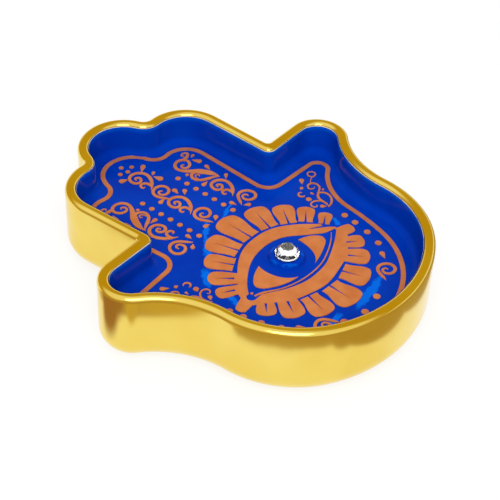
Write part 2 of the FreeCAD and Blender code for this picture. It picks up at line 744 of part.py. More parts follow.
TIP_DOT_SHARES = ((0.008, 0.851), (-0.091, 0.815), (0.005, 0.799), (0.103, 0.813))
STEM_DOT_SHARES = (0.432, 0.532)
DOT_COLUMN_SHARES = ((0.31, 0.549), (0.3, 0.1445))
DOTS_IN_COLUMN = 7
PALM_DOT_SHARES = ((0.585, -0.341), (0.573, -0.418), (0.55, -0.513), (0.511, -0.609))
HEEL_DOT_SHARES = ((0.121, -0.838), (-0.028, -0.857), (-0.173, -0.819))

finger_reach = size("crotch_side")
thumb_reach = size("thumb_reach")
forward_reach = size("hand_half_length")


def art_place(reach, shares, side=1):
    """Where a share of the ornament lies on the dish, as sizes; side -1 is the mirrored half.

    The ornament leans a little. The fingers' scrolls mirror about its own leaning middle, and those of
    the palm and the thumbs about the middle of the dish, which keeps them clear of the border.
    """
    forward = forward_reach.times(shares[1])
    lean = forward * size("art_lean_share") - size("art_across")
    if reach is thumb_reach:
        lean = lean.times(side)
    return reach.times(shares[0] * side) + lean, forward


def art_point(reach, shares, side=1):
    across, forward = art_place(reach, shares, side)
    return Vector(across.value, forward.value)


def scroll(reach, place, shape_shares, height, turn=0, side=1):
    """Points of a scroll shape about its place, turned in degrees before it is mirrored."""
    angle = math.radians(turn)
    centre = art_point(reach, place, side)
    points = []
    for across, along in shape_shares:
        x = across * math.cos(angle) - along * math.sin(angle)
        y = across * math.sin(angle) + along * math.cos(angle)
        points.append(centre + Vector(x * side, y) * height)
    return points


scroll_width = size("scroll_line_width").value
thumb_width = size("thumb_line_width").value


def comma(reach, place, side=1):
    height = size("comma_height").value * place[2]
    body = stroke(scroll(reach, place, COMMA_SHARES, height, 0, side), COMMA_WIDTH_SHARES, scroll_width)
    curl = stroke(scroll(reach, place, CURL_SHARES, height, 0, side), CURL_WIDTH_SHARES, scroll_width)
    return [body, curl]


def snail(reach, place, turn=0, side=1):
    height = size("snail_height").value * place[2]
    points = scroll(reach, place, SNAIL_SHARES, height, turn, side)
    return [stroke(points, SNAIL_WIDTH_SHARES, scroll_width)]


def drops(reach, table, side=1):
    faces = []
    for across, forward, turn, radius_share, reach_share in table:
        centre = art_point(reach, (across, forward), side)
        turned = turn if side > 0 else 180 - turn
        faces.append(drop(centre, turned, size("drop_radius").value * radius_share, reach_share))
    return faces


def middle_finger_faces():
    faces = drops(finger_reach, MIDDLE_DROP_SHARES)
    for place in MIDDLE_COMMA_SHARES:
        faces += comma(finger_reach, place)
    for place in MIDDLE_SNAIL_SHARES:
        faces += snail(finger_reach, place)
    return faces


def finger_faces(side):
    """The scrolls of one outer finger: a hooked spiral on a leaf, a comma and a snail."""
    height = size("comma_height").value
    faces = drops(finger_reach, FINGER_DROP_SHARES, side)
    for shape, widths in ((STEM_SHARES, STEM_WIDTH_SHARES), (LEAF_SHARES, LEAF_WIDTH_SHARES),
                          (LEAF_CURL_SHARES, LEAF_CURL_WIDTH_SHARES), (HOOK_SHARES, HOOK_WIDTH_SHARES)):
        points = scroll(finger_reach, FINGER_STEM_SHARES, shape, height, 0, side)
        faces.append(stroke(points, widths, scroll_width))
    faces += comma(finger_reach, FINGER_COMMA_SHARES, side)
    faces += snail(finger_reach, FINGER_SNAIL_SHARES, FINGER_SNAIL_TURN, side)
    return faces


def thumb_faces(side):
    """The fine scrolls of one thumb: a ring on a spiral, a leaf, a hook and a curl."""
    faces = drops(thumb_reach, THUMB_DROP_SHARES, side)
    for shape, widths in ((RING_TAIL_SHARES, RING_TAIL_WIDTH_SHARES),
                          (THUMB_SPIRAL_SHARES, THUMB_SPIRAL_WIDTH_SHARES),
                          (THUMB_LEAF_SHARES, THUMB_LEAF_WIDTH_SHARES),
                          (THUMB_HOOK_SHARES, THUMB_HOOK_WIDTH_SHARES),
                          (THUMB_CURL_SHARES, THUMB_CURL_WIDTH_SHARES)):
        points = [art_point(thumb_reach, shares, side) for shares in shape]
        faces.append(stroke(points, widths, thumb_width))
    centre = art_point(thumb_reach, RING_PLACE_SHARES, side)
    ring_radius = size("ring_radius").value
    inside = round_face(centre, ring_radius * (1 - RING_WIDTH_SHARE))
    faces.append(round_face(centre, ring_radius).cut(inside))
    return faces


def palm_faces():
    faces = []
    for side in (1, -1):
        faces += snail(thumb_reach, PALM_SNAIL_SHARES, PALM_SNAIL_TURN, side)
        faces += drops(thumb_reach, PALM_DROP_SHARES, side)
    return faces


scroll_pieces = [
    print_piece("middle_finger_scrolls", joined(middle_finger_faces())),
    print_piece("right_finger_scrolls", joined(finger_faces(1))),
    print_piece("left_finger_scrolls", joined(finger_faces(-1))),
    print_piece("right_thumb_scrolls", joined(thumb_faces(1))),
    print_piece("left_thumb_scrolls", joined(thumb_faces(-1))),
    print_piece("palm_scrolls", joined(palm_faces()))]


def dot_group(name, places):
    """Round dots, each a disc of its own, kept together under one name."""
    group = doc.addObject("Part::Compound", name)
    group.Label = name
    group.Links = [disc(f"{name}_{number}", across, forward, floor_z, radius, print_thickness)
                   for number, (across, forward, radius) in enumerate(places, start=1)]
    return group


def both_sides(reach, shares, radius):
    return [art_place(reach, shares, side) + (radius,) for side in (1, -1)]


tip_dot = size("tip_dot_radius")
tip_dots = dot_group("tip_dots", [art_place(finger_reach, shares) + (tip_dot,) for shares in TIP_DOT_SHARES])
(top_across, top_forward), (low_across, low_forward) = DOT_COLUMN_SHARES
column_places = both_sides(finger_reach, STEM_DOT_SHARES, size("stem_dot_radius"))
for step in range(DOTS_IN_COLUMN):
    down = step / (DOTS_IN_COLUMN - 1)
    shares = (top_across + (low_across - top_across) * down, top_forward + (low_forward - top_forward) * down)
    column_places += both_sides(finger_reach, shares, size("finger_dot_radius"))
finger_dots = dot_group("finger_dots", column_places)
palm_places = []
for shares in PALM_DOT_SHARES:
    palm_places += both_sides(thumb_reach, shares, size("palm_dot_radius"))
palm_dots = dot_group("palm_dots", palm_places)
heel_dot = size("heel_dot_radius")
heel_places = [art_place(thumb_reach, shares) + (heel_dot,) for shares in HEEL_DOT_SHARES]
heel_dots = dot_group("heel_dots", heel_places)

# The eye, as shares of its reach across and forward from the middle of the iris.
EYE_ACROSS_SHARE = 0.521
EYE_FORWARD_SHARE = 0.457
LID_TOP_SHARES = (
    (0.74, 0.069), (0.703, 0.116), (0.578, 0.254), (0.428, 0.379), (0.265, 0.463), (0.053, 0.497),
    (-0.172, 0.479), (-0.385, 0.39), (-0.622, 0.215), (-0.829, 0.037))
LID_CORNER_SHARES = ((-0.829, 0.037), (-0.86, -0.08), (-0.854, -0.194))
LID_BOTTOM_SHARES = (
    (-0.854, -0.194), (-0.66, -0.35), (-0.448, -0.497), (-0.297, -0.55), (-0.172, -0.584),
    (-0.048, -0.6), (0.077, -0.591), (0.265, -0.553), (0.384, -0.525), (0.59, -0.431), (0.803, -0.275))
LID_RIGHT_SHARES = ((0.803, -0.275), (0.82, -0.2), (0.79, -0.128))
LID_LOWER_EDGE_SHARES = (
    (0.79, -0.128), (0.64, -0.215), (0.515, -0.277), (0.365, -0.341), (0.203, -0.394), (0.053, -0.41),
    (-0.11, -0.404), (-0.272, -0.365), (-0.422, -0.3), (-0.547, -0.225), (-0.635, -0.171))
LID_DUCT_SHARES = (
    (-0.635, -0.171), (-0.735, -0.155), (-0.797, -0.144), (-0.822, -0.094), (-0.797, -0.05),
    (-0.747, -0.044))
LID_UPPER_EDGE_SHARES = (
    (-0.747, -0.044), (-0.61, 0.088), (-0.485, 0.175), (-0.36, 0.244), (-0.247, 0.287), (-0.122, 0.312),
    (0.015, 0.319), (0.152, 0.3), (0.277, 0.25), (0.365, 0.185), (0.465, 0.091), (0.565, 0.003),
    (0.665, -0.069), (0.74, -0.094), (0.82, -0.108))
LID_TAIL_SHARES = ((0.82, -0.108), (0.753, -0.025), (0.665, 0.045), (0.59, 0.112))
LID_SLIT_SHARES = ((0.585, 0.128), (0.735, 0.035))
# Petals: base across and up, tip across and up, half width at the base and at the shoulder.
FREE_UPPER_PETAL_SHARES = (
    (0.03, 0.537, 0.053, 1.006, 0.134, 0.172), (0.309, 0.481, 0.453, 0.863, 0.118, 0.154),
    (0.513, 0.358, 0.725, 0.633, 0.102, 0.133), (0.665, 0.227, 0.89, 0.387, 0.085, 0.107),
    (0.774, 0.041, 0.957, 0.145, 0.066, 0.084), (-0.247, 0.5, -0.348, 0.887, 0.121, 0.15),
    (-0.473, 0.385, -0.629, 0.694, 0.112, 0.124))
FREE_LOWER_PETAL_SHARES = (
    (-0.054, -0.64, -0.083, -1.025, 0.131, 0.177), (0.236, -0.603, 0.334, -0.915, 0.131, 0.16),
    (-0.344, -0.565, -0.448, -0.894, 0.115, 0.147))
JOINED_PETAL_SHARES = (
    (-0.595, 0.173, -0.841, 0.469, 0.09, 0.11), (-0.74, 0.08, -0.985, 0.231, 0.075, 0.087),
    (0.46, -0.435, 0.634, -0.712, 0.112, 0.129), (0.63, -0.31, 0.834, -0.494, 0.09, 0.106),
    (-0.52, -0.37, -0.71, -0.665, 0.116, 0.136), (-0.7, -0.24, -0.891, -0.407, 0.094, 0.112))
LOBE_SHARES = ((-0.835, -0.098, -1.033, -0.138, 0.085, 0.066), (0.76, -0.185, 0.953, -0.25, 0.085, 0.077))
PETAL_PROFILE_SHARES = ((0.4, 0.5), (0.74, 1.0), (0.88, 0.88), (0.965, 0.5))
SLIT_START_SHARE = 0.22
FREE_SLIT_START_SHARE = -0.1
SLIT_END_SHARE = 0.8
SLIT_HALF_WIDTH_SHARE = 0.016
LEFT_WHITE_SHARES = (
    (-0.31, 0.16), (-0.448, 0.112), (-0.547, 0.05), (-0.598, -0.013), (-0.591, -0.075),
    (-0.522, -0.15), (-0.397, -0.225), (-0.272, -0.269), (-0.162, -0.287))
LEFT_IRIS_SHARES = ((-0.162, -0.287), (-0.265, -0.2), (-0.325, -0.06), (-0.31, 0.16))
RIGHT_WHITE_SHARES = (
    (0.35, 0.098), (0.453, 0.056), (0.54, -0.013), (0.573, -0.075), (0.553, -0.138),
    (0.453, -0.2), (0.303, -0.256), (0.144, -0.294))
RIGHT_IRIS_SHARES = ((0.144, -0.294), (0.25, -0.215), (0.32, -0.08), (0.35, 0.098))
LID_LINE_SHARES = (
    (-0.72, -0.115), (-0.635, -0.145), (-0.485, -0.238), (-0.297, -0.318), (-0.11, -0.355),
    (0.04, -0.362), (0.203, -0.347), (0.39, -0.288), (0.578, -0.2), (0.7, -0.118))
LID_LINE_WIDTH_SHARES = (1.6, 2.0, 1.1, 1.0, 1.0, 1.0, 1.0, 1.0, 0.9, 0.5)
DUCT_DOT_SHARES = (-0.716, -0.062)

eye_reach = thumb_reach.times(EYE_ACROSS_SHARE)
eye_rise = forward_reach.times(EYE_FORWARD_SHARE)


def eye_points(shares):
    return [Vector(across * eye_reach.value, up * eye_rise.value) for across, up in shares]


def petal_frame(petal):
    """Base, direction to the tip, direction across, length and half widths of a petal."""
    base, tip = eye_points((petal[:2], petal[2:4]))
    way = unit(tip - base)
    widths = [share * eye_reach.value for share in petal[4:]]
    return base, way, Vector(-way.y, way.x), (tip - base).Length, *widths


def petal_face(petal):
    base, way, across, length, base_half, shoulder_half = petal_frame(petal)
    flanks = []
    for sign in (1, -1):
        flank = [base + across * base_half * sign]
        for along_share, width_share in PETAL_PROFILE_SHARES:
            half = shoulder_half * width_share
            if along_share == PETAL_PROFILE_SHARES[0][0]:
                half = base_half * (1 - width_share) + shoulder_half * width_share
            flank.append(base + way * length * along_share + across * half * sign)
        flanks.append(flank)
    return outlined(flanks[0] + [base + way * length] + flanks[1][::-1])


def petal_slit(petal, start_share):
    """The narrow wedge along the middle of a petal where the glaze shows."""
    base, way, across, length, _, _ = petal_frame(petal)
    half = across * (SLIT_HALF_WIDTH_SHARE * eye_reach.value)
    start = base + way * length * start_share
    return flat_face([start + half, base + way * length * SLIT_END_SHARE, start - half])


def free_petals(table):
    return joined([petal_face(petal).cut(petal_slit(petal, FREE_SLIT_START_SHARE)) for petal in table])


def eyelids():
    """Both lids in one, with the petals and lobes that grow out of them."""
    band = outlined(*(eye_points(run) for run in (
        LID_TOP_SHARES, LID_CORNER_SHARES, LID_BOTTOM_SHARES, LID_RIGHT_SHARES, LID_LOWER_EDGE_SHARES,
        LID_DUCT_SHARES, LID_UPPER_EDGE_SHARES, LID_TAIL_SHARES, LID_SLIT_SHARES)))
    lids = joined([band] + [petal_face(petal) for petal in JOINED_PETAL_SHARES + LOBE_SHARES])
    for petal in JOINED_PETAL_SHARES:
        lids = lids.cut(raised(petal_slit(petal, SLIT_START_SHARE)))
    return lids


lid_line = stroke(eye_points(LID_LINE_SHARES), LID_LINE_WIDTH_SHARES, size("lid_line_width").value)
left_white = outlined(eye_points(LEFT_WHITE_SHARES), eye_points(LEFT_IRIS_SHARES))
right_white = outlined(eye_points(RIGHT_WHITE_SHARES), eye_points(RIGHT_IRIS_SHARES))
eye_pieces = [
    print_piece("eyelids", eyelids(), eye_x, eye_y),
    print_piece("upper_petals", free_petals(FREE_UPPER_PETAL_SHARES), eye_x, eye_y),
    print_piece("lower_petals", free_petals(FREE_LOWER_PETAL_SHARES), eye_x, eye_y),
    print_piece("lower_lid_line", raised(lid_line), eye_x, eye_y),
    print_piece("left_eye_white", raised(left_white), eye_x, eye_y),
    print_piece("right_eye_white", raised(right_white), eye_x, eye_y)]
duct_across, duct_up = DUCT_DOT_SHARES
duct_dot = disc("tear_duct_dot", eye_x + eye_reach.times(duct_across), eye_y + eye_rise.times(duct_up),
                floor_z, size("duct_dot_radius"), print_thickness)

PIECES = [ceramic_body, gold_coat, blue_glaze, border, stone_glue, stone_foil, stone, *scroll_pieces,
          tip_dots, finger_dots, palm_dots, heel_dots, *eye_pieces, duct_dot]

doc.recompute()
failed = [item.Label for item in doc.Objects if "Invalid" in item.State or "Error" in item.State]
if failed:
    raise RuntimeError("failed: " + ", ".join(failed))
os.makedirs("parts", exist_ok=True)
for piece in PIECES:
    shape = piece.Shape
    if shape.isNull() or not shape.isValid():
        raise RuntimeError(piece.Label + " has no valid shape")
    shape.exportStep(f"parts/{piece.Label}.step")
    box = shape.BoundBox
    print(piece.Label, len(shape.Solids), "solids", round(shape.Volume, 2), "mm3",
          [round(value, 2) for value in (box.XMin, box.YMin, box.ZMin, box.XMax, box.YMax, box.ZMax)])
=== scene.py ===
# %% [markdown]
# # A hamsa hand trinket dish
#
# The object is a small dish of slip-cast earthenware in the outline of an open hand. Its inside is
# glazed cobalt blue and printed in copper with scrolls, dots and an eye. A cut crystal is glued on the
# raised pupil. The rim and the outer wall carry a gold lustre.
#
# The CAD model gives every size. Blender adds dense, even surfaces where the light shows the shape,
# and the finish of each material. The CAD model stays where it is.

# %% The frame
import json
import math
import bmesh
import bpy
from mathutils import Matrix, Vector, geometry, kdtree, noise

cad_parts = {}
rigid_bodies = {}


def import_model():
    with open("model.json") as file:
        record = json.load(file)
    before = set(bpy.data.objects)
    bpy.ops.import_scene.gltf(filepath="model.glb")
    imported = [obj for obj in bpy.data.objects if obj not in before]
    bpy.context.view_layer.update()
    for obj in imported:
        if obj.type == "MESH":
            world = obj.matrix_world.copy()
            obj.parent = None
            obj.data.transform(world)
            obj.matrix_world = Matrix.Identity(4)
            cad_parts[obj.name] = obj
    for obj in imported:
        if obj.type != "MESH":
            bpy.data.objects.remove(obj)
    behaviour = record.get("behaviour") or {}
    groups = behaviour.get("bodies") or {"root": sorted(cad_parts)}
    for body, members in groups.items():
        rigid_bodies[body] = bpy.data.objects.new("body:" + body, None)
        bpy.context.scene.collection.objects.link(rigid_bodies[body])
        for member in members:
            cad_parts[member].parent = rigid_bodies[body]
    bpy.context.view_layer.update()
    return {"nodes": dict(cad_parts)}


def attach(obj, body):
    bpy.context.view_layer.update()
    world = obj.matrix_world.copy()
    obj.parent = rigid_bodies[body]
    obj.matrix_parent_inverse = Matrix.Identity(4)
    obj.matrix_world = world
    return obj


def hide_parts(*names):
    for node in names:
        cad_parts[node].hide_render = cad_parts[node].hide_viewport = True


for leftover in list(bpy.data.objects):
    bpy.data.objects.remove(leftover)
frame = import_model()

# %% [markdown]
# ## Sizes
#
# The lengths are written in millimetres, as a potter would measure them, and turned into Blender's
# metres where a mesh is made. They repeat the CAD model's sizes. A name that ends in share is a ratio.

# %% Sizes of the outline
MM = 0.001
HALF_LENGTH = 70.0
MIDDLE_RADIUS = 12.9
VALLEY_RADIUS = 7.9
FINGER_RADIUS = 13.3
FINGER_DROP = 13.7
FINGER_SPLAY = 1.0
CROTCH_SIDE = 33.1
CROTCH_RADIUS = 3.4
OUTER_CROTCH_RADIUS = 1.0
THUMB_TOP = 11.3
THUMB_REACH = 61.4
THUMB_RADIUS = 7.5
FLARE_RADIUS = 41.0
PALM_SIDE_RADIUS = 36.8
HEEL_RADIUS = 50.8
PALM_LEAN_SHARE = 0.55
PALM_REACH = (HEEL_RADIUS - PALM_SIDE_RADIUS) * PALM_LEAN_SHARE + PALM_SIDE_RADIUS
print("the palm reaches", round(PALM_REACH, 2), "mm from the middle")

# %% Sizes of the wall and the underside
WALL = 4.5
RIM_Z = 31.2
RIM_ROUND = 2.2
RIM_ROUND_Z = RIM_Z - RIM_ROUND
FLOOR_Z = 17.4
FLOOR_THICKNESS = 5.0
COVE = 3.0
BASE_ROUND = 9.0
COAT = 0.3
FOOT_HEIGHT = 1.0
FOOT_INSET = 5.2
FOOT_WIDTH = 5.3
RECESS_ROUND = 3.0
print("the bowl is", round(RIM_Z - FLOOR_Z, 2), "mm deep")

# %% Sizes of the pupil
EYE = Vector((0.5, -22.19))
BOSS_RADIUS = 6.6
BOSS_HEIGHT = 2.2
BOSS_TOP_ROUND = 1.2
BOSS_FOOT_ROUND = 1.5
GLUE_THICKNESS = 0.3
STONE_RADIUS = 4.5
GLUE_TOP_Z = FLOOR_Z + BOSS_HEIGHT + GLUE_THICKNESS
print("the stone's back lies at", round(GLUE_TOP_Z, 2), "mm")

# %% [markdown]
# ## The outline of the hand
#
# The hand is drawn as its right half: heel, palm side, thumb, the crotch between thumb and finger, the
# outer finger, the valley and the middle finger. It is a chain of rounds that touch each other, so its
# offset keeps every centre and only changes the radii. The left half is its mirror image. The outer
# face needs a wider crotch, because the wall would otherwise fold over itself there.

# %% Helpers for rounds that touch
def circle_between(a, a_reach, b, b_reach):
    """The point at the given distances from a and b, on the right of the way from a to b."""
    way = b - a
    along = (a_reach ** 2 - b_reach ** 2 + way.length_squared) / (2 * way.length)
    across = math.sqrt(a_reach ** 2 - along ** 2)
    return a + way.normalized() * along + Vector((way.y, -way.x)).normalized() * across


def touching_line(a, a_reach, b, b_reach):
    """Where one straight line touches two rounds that it passes on their right side."""
    way = b - a
    lean = (a_reach - b_reach) / way.length
    normal = way.normalized() * lean + Vector((way.y, -way.x)).normalized() * math.sqrt(1 - lean ** 2)
    return a + normal * a_reach, b + normal * b_reach


# %% Centres of the rounds
LEAN_OUT = Vector((PALM_LEAN_SHARE, -math.sqrt(1 - PALM_LEAN_SHARE ** 2)))
HEEL = Vector((0, HEEL_RADIUS - HALF_LENGTH))
PALM_SIDE = HEEL + LEAN_OUT * (HEEL_RADIUS - PALM_SIDE_RADIUS)
THUMB = Vector((THUMB_REACH - THUMB_RADIUS, THUMB_TOP - THUMB_RADIUS))
FINGER = Vector((CROTCH_SIDE + FINGER_SPLAY - FINGER_RADIUS, HALF_LENGTH - FINGER_DROP - FINGER_RADIUS))
MIDDLE = Vector((0, HALF_LENGTH - MIDDLE_RADIUS))
VALLEY = circle_between(FINGER, FINGER_RADIUS + VALLEY_RADIUS, MIDDLE, MIDDLE_RADIUS + VALLEY_RADIUS)
FLARE = circle_between(PALM_SIDE, PALM_SIDE_RADIUS + FLARE_RADIUS, THUMB, THUMB_RADIUS + FLARE_RADIUS)
print("valley at", [round(value, 2) for value in VALLEY], "flare at", [round(value, 2) for value in FLARE])

# %% Stretches of the right half
def right_half(crotch_radius):
    """Centre, bulge, start and end of each stretch; a straight stretch has no centre."""
    crotch = Vector((CROTCH_SIDE + crotch_radius, THUMB_TOP + crotch_radius))
    thumb_out, crotch_in = touching_line(THUMB, THUMB_RADIUS, crotch, -crotch_radius)
    crotch_out, finger_in = touching_line(crotch, -crotch_radius, FINGER, FINGER_RADIUS)
    joints = [
        Vector((0, -HALF_LENGTH)), HEEL + LEAN_OUT * HEEL_RADIUS,
        PALM_SIDE + (FLARE - PALM_SIDE).normalized() * PALM_SIDE_RADIUS,
        THUMB + (FLARE - THUMB).normalized() * THUMB_RADIUS, thumb_out, crotch_in, crotch_out, finger_in,
        FINGER + (VALLEY - FINGER).normalized() * FINGER_RADIUS,
        MIDDLE + (VALLEY - MIDDLE).normalized() * MIDDLE_RADIUS, Vector((0, HALF_LENGTH))]
    centres = [HEEL, PALM_SIDE, FLARE, THUMB, None, crotch, None, FINGER, VALLEY, MIDDLE]
    bulges = [1, 1, -1, 1, 1, -1, 1, 1, -1, 1]
    return list(zip(centres, bulges, joints, joints[1:]))


# %% Samples along the outline
SAMPLES = (26, 34, 34, 22, 10, 10, 22, 26, 18, 24)


def walk(crotch_radius):
    """Places and outward directions round the whole hand, from the heel anticlockwise."""
    places = []
    for (centre, bulge, start, end), count in zip(right_half(crotch_radius), SAMPLES):
        for step in range(count):
            share = step / count
            if centre is None:
                way = (end - start).normalized()
                places.append((start.lerp(end, share), Vector((way.y, -way.x))))
                continue
            first, last = start - centre, end - centre
            turn = math.atan2(first.x * last.y - first.y * last.x, first.dot(last))
            spoke = Matrix.Rotation(turn * share, 2) @ first
            places.append((centre + spoke, spoke.normalized() * bulge))
    tip = (Vector((0, HALF_LENGTH)), Vector((0, 1)))
    left = [(Vector((-p.x, p.y)), Vector((-n.x, n.y))) for p, n in reversed(places[1:])]
    return places + [tip] + left


INNER_WALK = walk(CROTCH_RADIUS)
OUTER_WALK = walk(OUTER_CROTCH_RADIUS + WALL)
print("samples round the hand:", len(INNER_WALK))

# %% [markdown]
# ## Skins from rows of points
#
# A glazed surface is one smooth skin. Rows of points that follow the outline at changing offset and
# height are stitched into faces. This keeps the faces even and in line with the rim, so highlights run
# along it without ripples. Modelling it from a cube with subdivision would not keep the exact offsets.

# %% Rows of points
def ring(places, offset, height):
    """One closed row of points, offset outwards and at a height; both may change along the way."""
    row = []
    for index, (place, out) in enumerate(places):
        d = offset(index) if callable(offset) else offset
        z = height(index) if callable(height) else height
        row.append(Vector((*(place + out * d), z)) * MM)
    return row


def arc_steps(centre_offset, centre_z, radius, first, last, steps):
    """Offsets and heights along a round in the wall's cross-section; angles in degrees."""
    for step in range(steps + 1):
        turn = math.radians(first + (last - first) * step / steps)
        yield centre_offset + radius * math.cos(turn), centre_z + radius * math.sin(turn)


# %% Stitching rows
MERGE_DISTANCE = 1e-7


def skin_mesh(bm, rows):
    """Adds quads between each closed row and the next and returns the vertices of the rows."""
    made = [[bm.verts.new(point) for point in row] for row in rows]
    for low, high in zip(made, made[1:]):
        for index in range(len(low)):
            after = (index + 1) % len(low)
            bm.faces.new((low[index], low[after], high[after], high[index]))
    return made


def piece_from(bm, name, finish, node):
    """Turns the mesh into a smooth piece that stands for a CAD node."""
    bmesh.ops.remove_doubles(bm, verts=bm.verts, dist=MERGE_DISTANCE)
    mesh = bpy.data.meshes.new(name)
    bm.to_mesh(mesh)
    bm.free()
    mesh.polygons.foreach_set("use_smooth", [True] * len(mesh.polygons))
    mesh.materials.append(finish)
    piece = bpy.data.objects.new(name, mesh)
    bpy.context.collection.objects.link(piece)
    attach(piece, "root")
    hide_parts(node)
    print(name, len(mesh.vertices), "points,", len(mesh.polygons), "faces")
    return piece


# %% [markdown]
# ## Colours and nodes
#
# Colours are written as the hex values that a colour picker gives on a screen. Blender works with
# linear light, so one function turns them. Every finish is a small graph of nodes, and one function
# adds a node, sets its options and joins it to the others.

# %% From screen colour to linear light
def paint(code):
    """sRGB hex to linear RGBA."""
    values = [int(code[start:start + 2], 16) / 255 for start in (1, 3, 5)]
    return (*[v / 12.92 if v <= 0.04045 else ((v + 0.055) / 1.055) ** 2.4 for v in values], 1.0)


print("a screen's middle grey gives this share of the light:", round(paint("#808080")[0], 3))

# %% Nodes and finishes
def add_node(tree, kind, sockets=None, stops=(), **settings):
    """Adds one node, sets its options and colour stops, and fills or joins its inputs.

    An input takes a plain value, an output of another node, or a node, which gives its first output.
    """
    node = tree.nodes.new(kind)
    for name, value in settings.items():
        setattr(node, name, value)
    for index, (place, code) in enumerate(stops):
        stop = node.color_ramp.elements[index]
        stop.position, stop.color = place, paint(code)
    for socket, source in (sockets or {}).items():
        if isinstance(source, bpy.types.Node):
            source = source.outputs[0]
        if isinstance(source, bpy.types.NodeSocket):
            tree.links.new(source, node.inputs[socket])
        else:
            node.inputs[socket].default_value = source
    return node


def new_finish(name):
    """An empty material and its node tree."""
    finish = bpy.data.materials.new(name)
    finish.use_nodes = True
    finish.node_tree.nodes.clear()
    return finish, finish.node_tree


def mottle(tree, grain_mm, detail=3.0, stretch=(1, 1, 1)):
    """Noise whose largest patches are about grain_mm across."""
    place = add_node(tree, "ShaderNodeTexCoord")
    spread = add_node(tree, "ShaderNodeMapping", {"Vector": place.outputs["Object"], "Scale": stretch})
    return add_node(tree, "ShaderNodeTexNoise", {
        "Vector": spread, "Scale": 1 / (grain_mm * MM), "Detail": detail})


def finish_with(finish, tree, sockets):
    """Puts the Principled shader and the output behind what was made."""
    shader = add_node(tree, "ShaderNodeBsdfPrincipled", sockets)
    add_node(tree, "ShaderNodeOutputMaterial", {"Surface": shader})
    print("material", finish.name)


# %% [markdown]
# ## Gold lustre
#
# The outside is sprayed with a metallic gold lustre and fired once more. It reads as polished, pale
# gold metal that blurs what it mirrors a little. The pigment is far too fine to see, so it only shows
# as roughness. Broad soft patches of about 30 mm come from the spraying.

# %% Gold lustre
SPRAY_PATCH = 30.0
gold, tree = new_finish("gold_lustre_sprayed")
cloud = mottle(tree, SPRAY_PATCH, 2.0)
gold_colour = add_node(tree, "ShaderNodeValToRGB", {"Fac": cloud}, stops=(
    (0.35, "#ECCC5C"), (0.65, "#F3D86E")))
gold_rough = add_node(tree, "ShaderNodeMapRange", {
    "Value": cloud, "From Min": 0.3, "From Max": 0.7, "To Min": 0.1, "To Max": 0.14})
finish_with(gold, tree, {
    "Base Color": gold_colour, "Metallic": 1.0, "Roughness": gold_rough,
    "Coat Weight": 0.05, "Coat Roughness": 0.15})

# %% [markdown]
# ## Gold over the rim and down the wall
#
# The wall's cross-section is walked from the paint edge inside the rim, over the crest, down the
# outside and round the base to the foot. The painter's edge wanders by a few tenths of a millimetre,
# and is turned under by a hair, so that the film shows no open edge.

# %% Edge of the gold inside the rim
EDGE_TURN = 153.0
EDGE_WANDER = 6.0
EDGE_WAVES_PER_MM = 0.16
EDGE_LAYER = 3.0
EDGE_TUCK = 0.06
CREST_TURN = 90.0


def edge_turn(index):
    """Angle on the rim's inner round at which the gold stops, wandering round the hand."""
    place = INNER_WALK[index][0]
    return EDGE_TURN + EDGE_WANDER * noise.noise(Vector((place.x, place.y, EDGE_LAYER)) * EDGE_WAVES_PER_MM)


def inner_round_row(share, radius=RIM_ROUND):
    """A row on the rim's inner round, from 0 at the paint edge to 1 on the crest."""
    def turn(index):
        return math.radians(edge_turn(index) + (CREST_TURN - edge_turn(index)) * share)
    return ring(INNER_WALK, lambda i: RIM_ROUND + radius * math.cos(turn(i)),
                lambda i: RIM_ROUND_Z + radius * math.sin(turn(i)))


edge_heights = [point.z / MM for point in inner_round_row(0)]
print("paint edge from", round(min(edge_heights), 2), "to", round(max(edge_heights), 2), "mm")

# %% Gold skin
CREST_STEPS = 10
WALL_DROPS = (0.4, 1.5, 4.0, 8.0, 12.0, 16.0)
BASE_LEAD = 0.4
wall_low = FOOT_HEIGHT - COAT + BASE_ROUND
bm = bmesh.new()
rows = [inner_round_row(0, RIM_ROUND - EDGE_TUCK)]
rows += [inner_round_row(step / CREST_STEPS) for step in range(CREST_STEPS + 1)]
outer = list(arc_steps(WALL - RIM_ROUND, RIM_ROUND_Z, RIM_ROUND, 90, 0, 14))
outer += [(WALL, RIM_ROUND_Z - drop) for drop in WALL_DROPS]
outer += [(WALL, wall_low + BASE_LEAD)]
outer += list(arc_steps(WALL - BASE_ROUND, wall_low, BASE_ROUND, 0, -90, 24))
outer += [(-FOOT_INSET, FOOT_HEIGHT - COAT), (-FOOT_INSET, FOOT_HEIGHT)]
rows += [ring(OUTER_WALK, offset, z) for offset, z in outer]
skin_mesh(bm, rows)
bmesh.ops.recalc_face_normals(bm, faces=bm.faces)
piece_from(bm, "gold_lustre_skin", gold, "gold_coat")

# %% [markdown]
# ## Cobalt glaze
#
# The inside is brushed with a cobalt glaze. Fired glaze is a dark, deep blue under a layer of glass:
# glossy, with an IOR near 1.5. It runs darker where it is thick, and its surface waves very slightly,
# over about 9 mm, which bends the reflections. Lighter blue is painted into its colour as reflection:
# a band under the rim, a few streaks round the eye and small highlights by the stone. At the painter's
# edge a hair of it stays bare and pale. The photograph shows almost no white gloss on it, so its mirror
# level is kept low.

# %% Painted reflection streaks in the glaze
# Lighter streaks of painted reflection, laid into the glaze colour.
# Place of the middle, length and width in millimetres, and the turn in degrees.
PAINTED_STREAKS = (
    (-15.5, 1.5, 18.0, 3.2, 42), (-26.5, -7.0, 10.0, 3.4, 52), (-6.5, 10.0, 10.0, 2.2, 40),
    (5.5, -55.4, 20.0, 3.4, 9), (-14.0, -54.4, 8.0, 2.4, 5), (-29.5, -22.5, 12.0, 2.4, 75),
    (29.6, -23.6, 4.5, 2.4, 60), (8.0, 11.8, 10.0, 1.4, 20))
STREAK_GRAIN = 2.2
STREAK_FRAY = 3.6


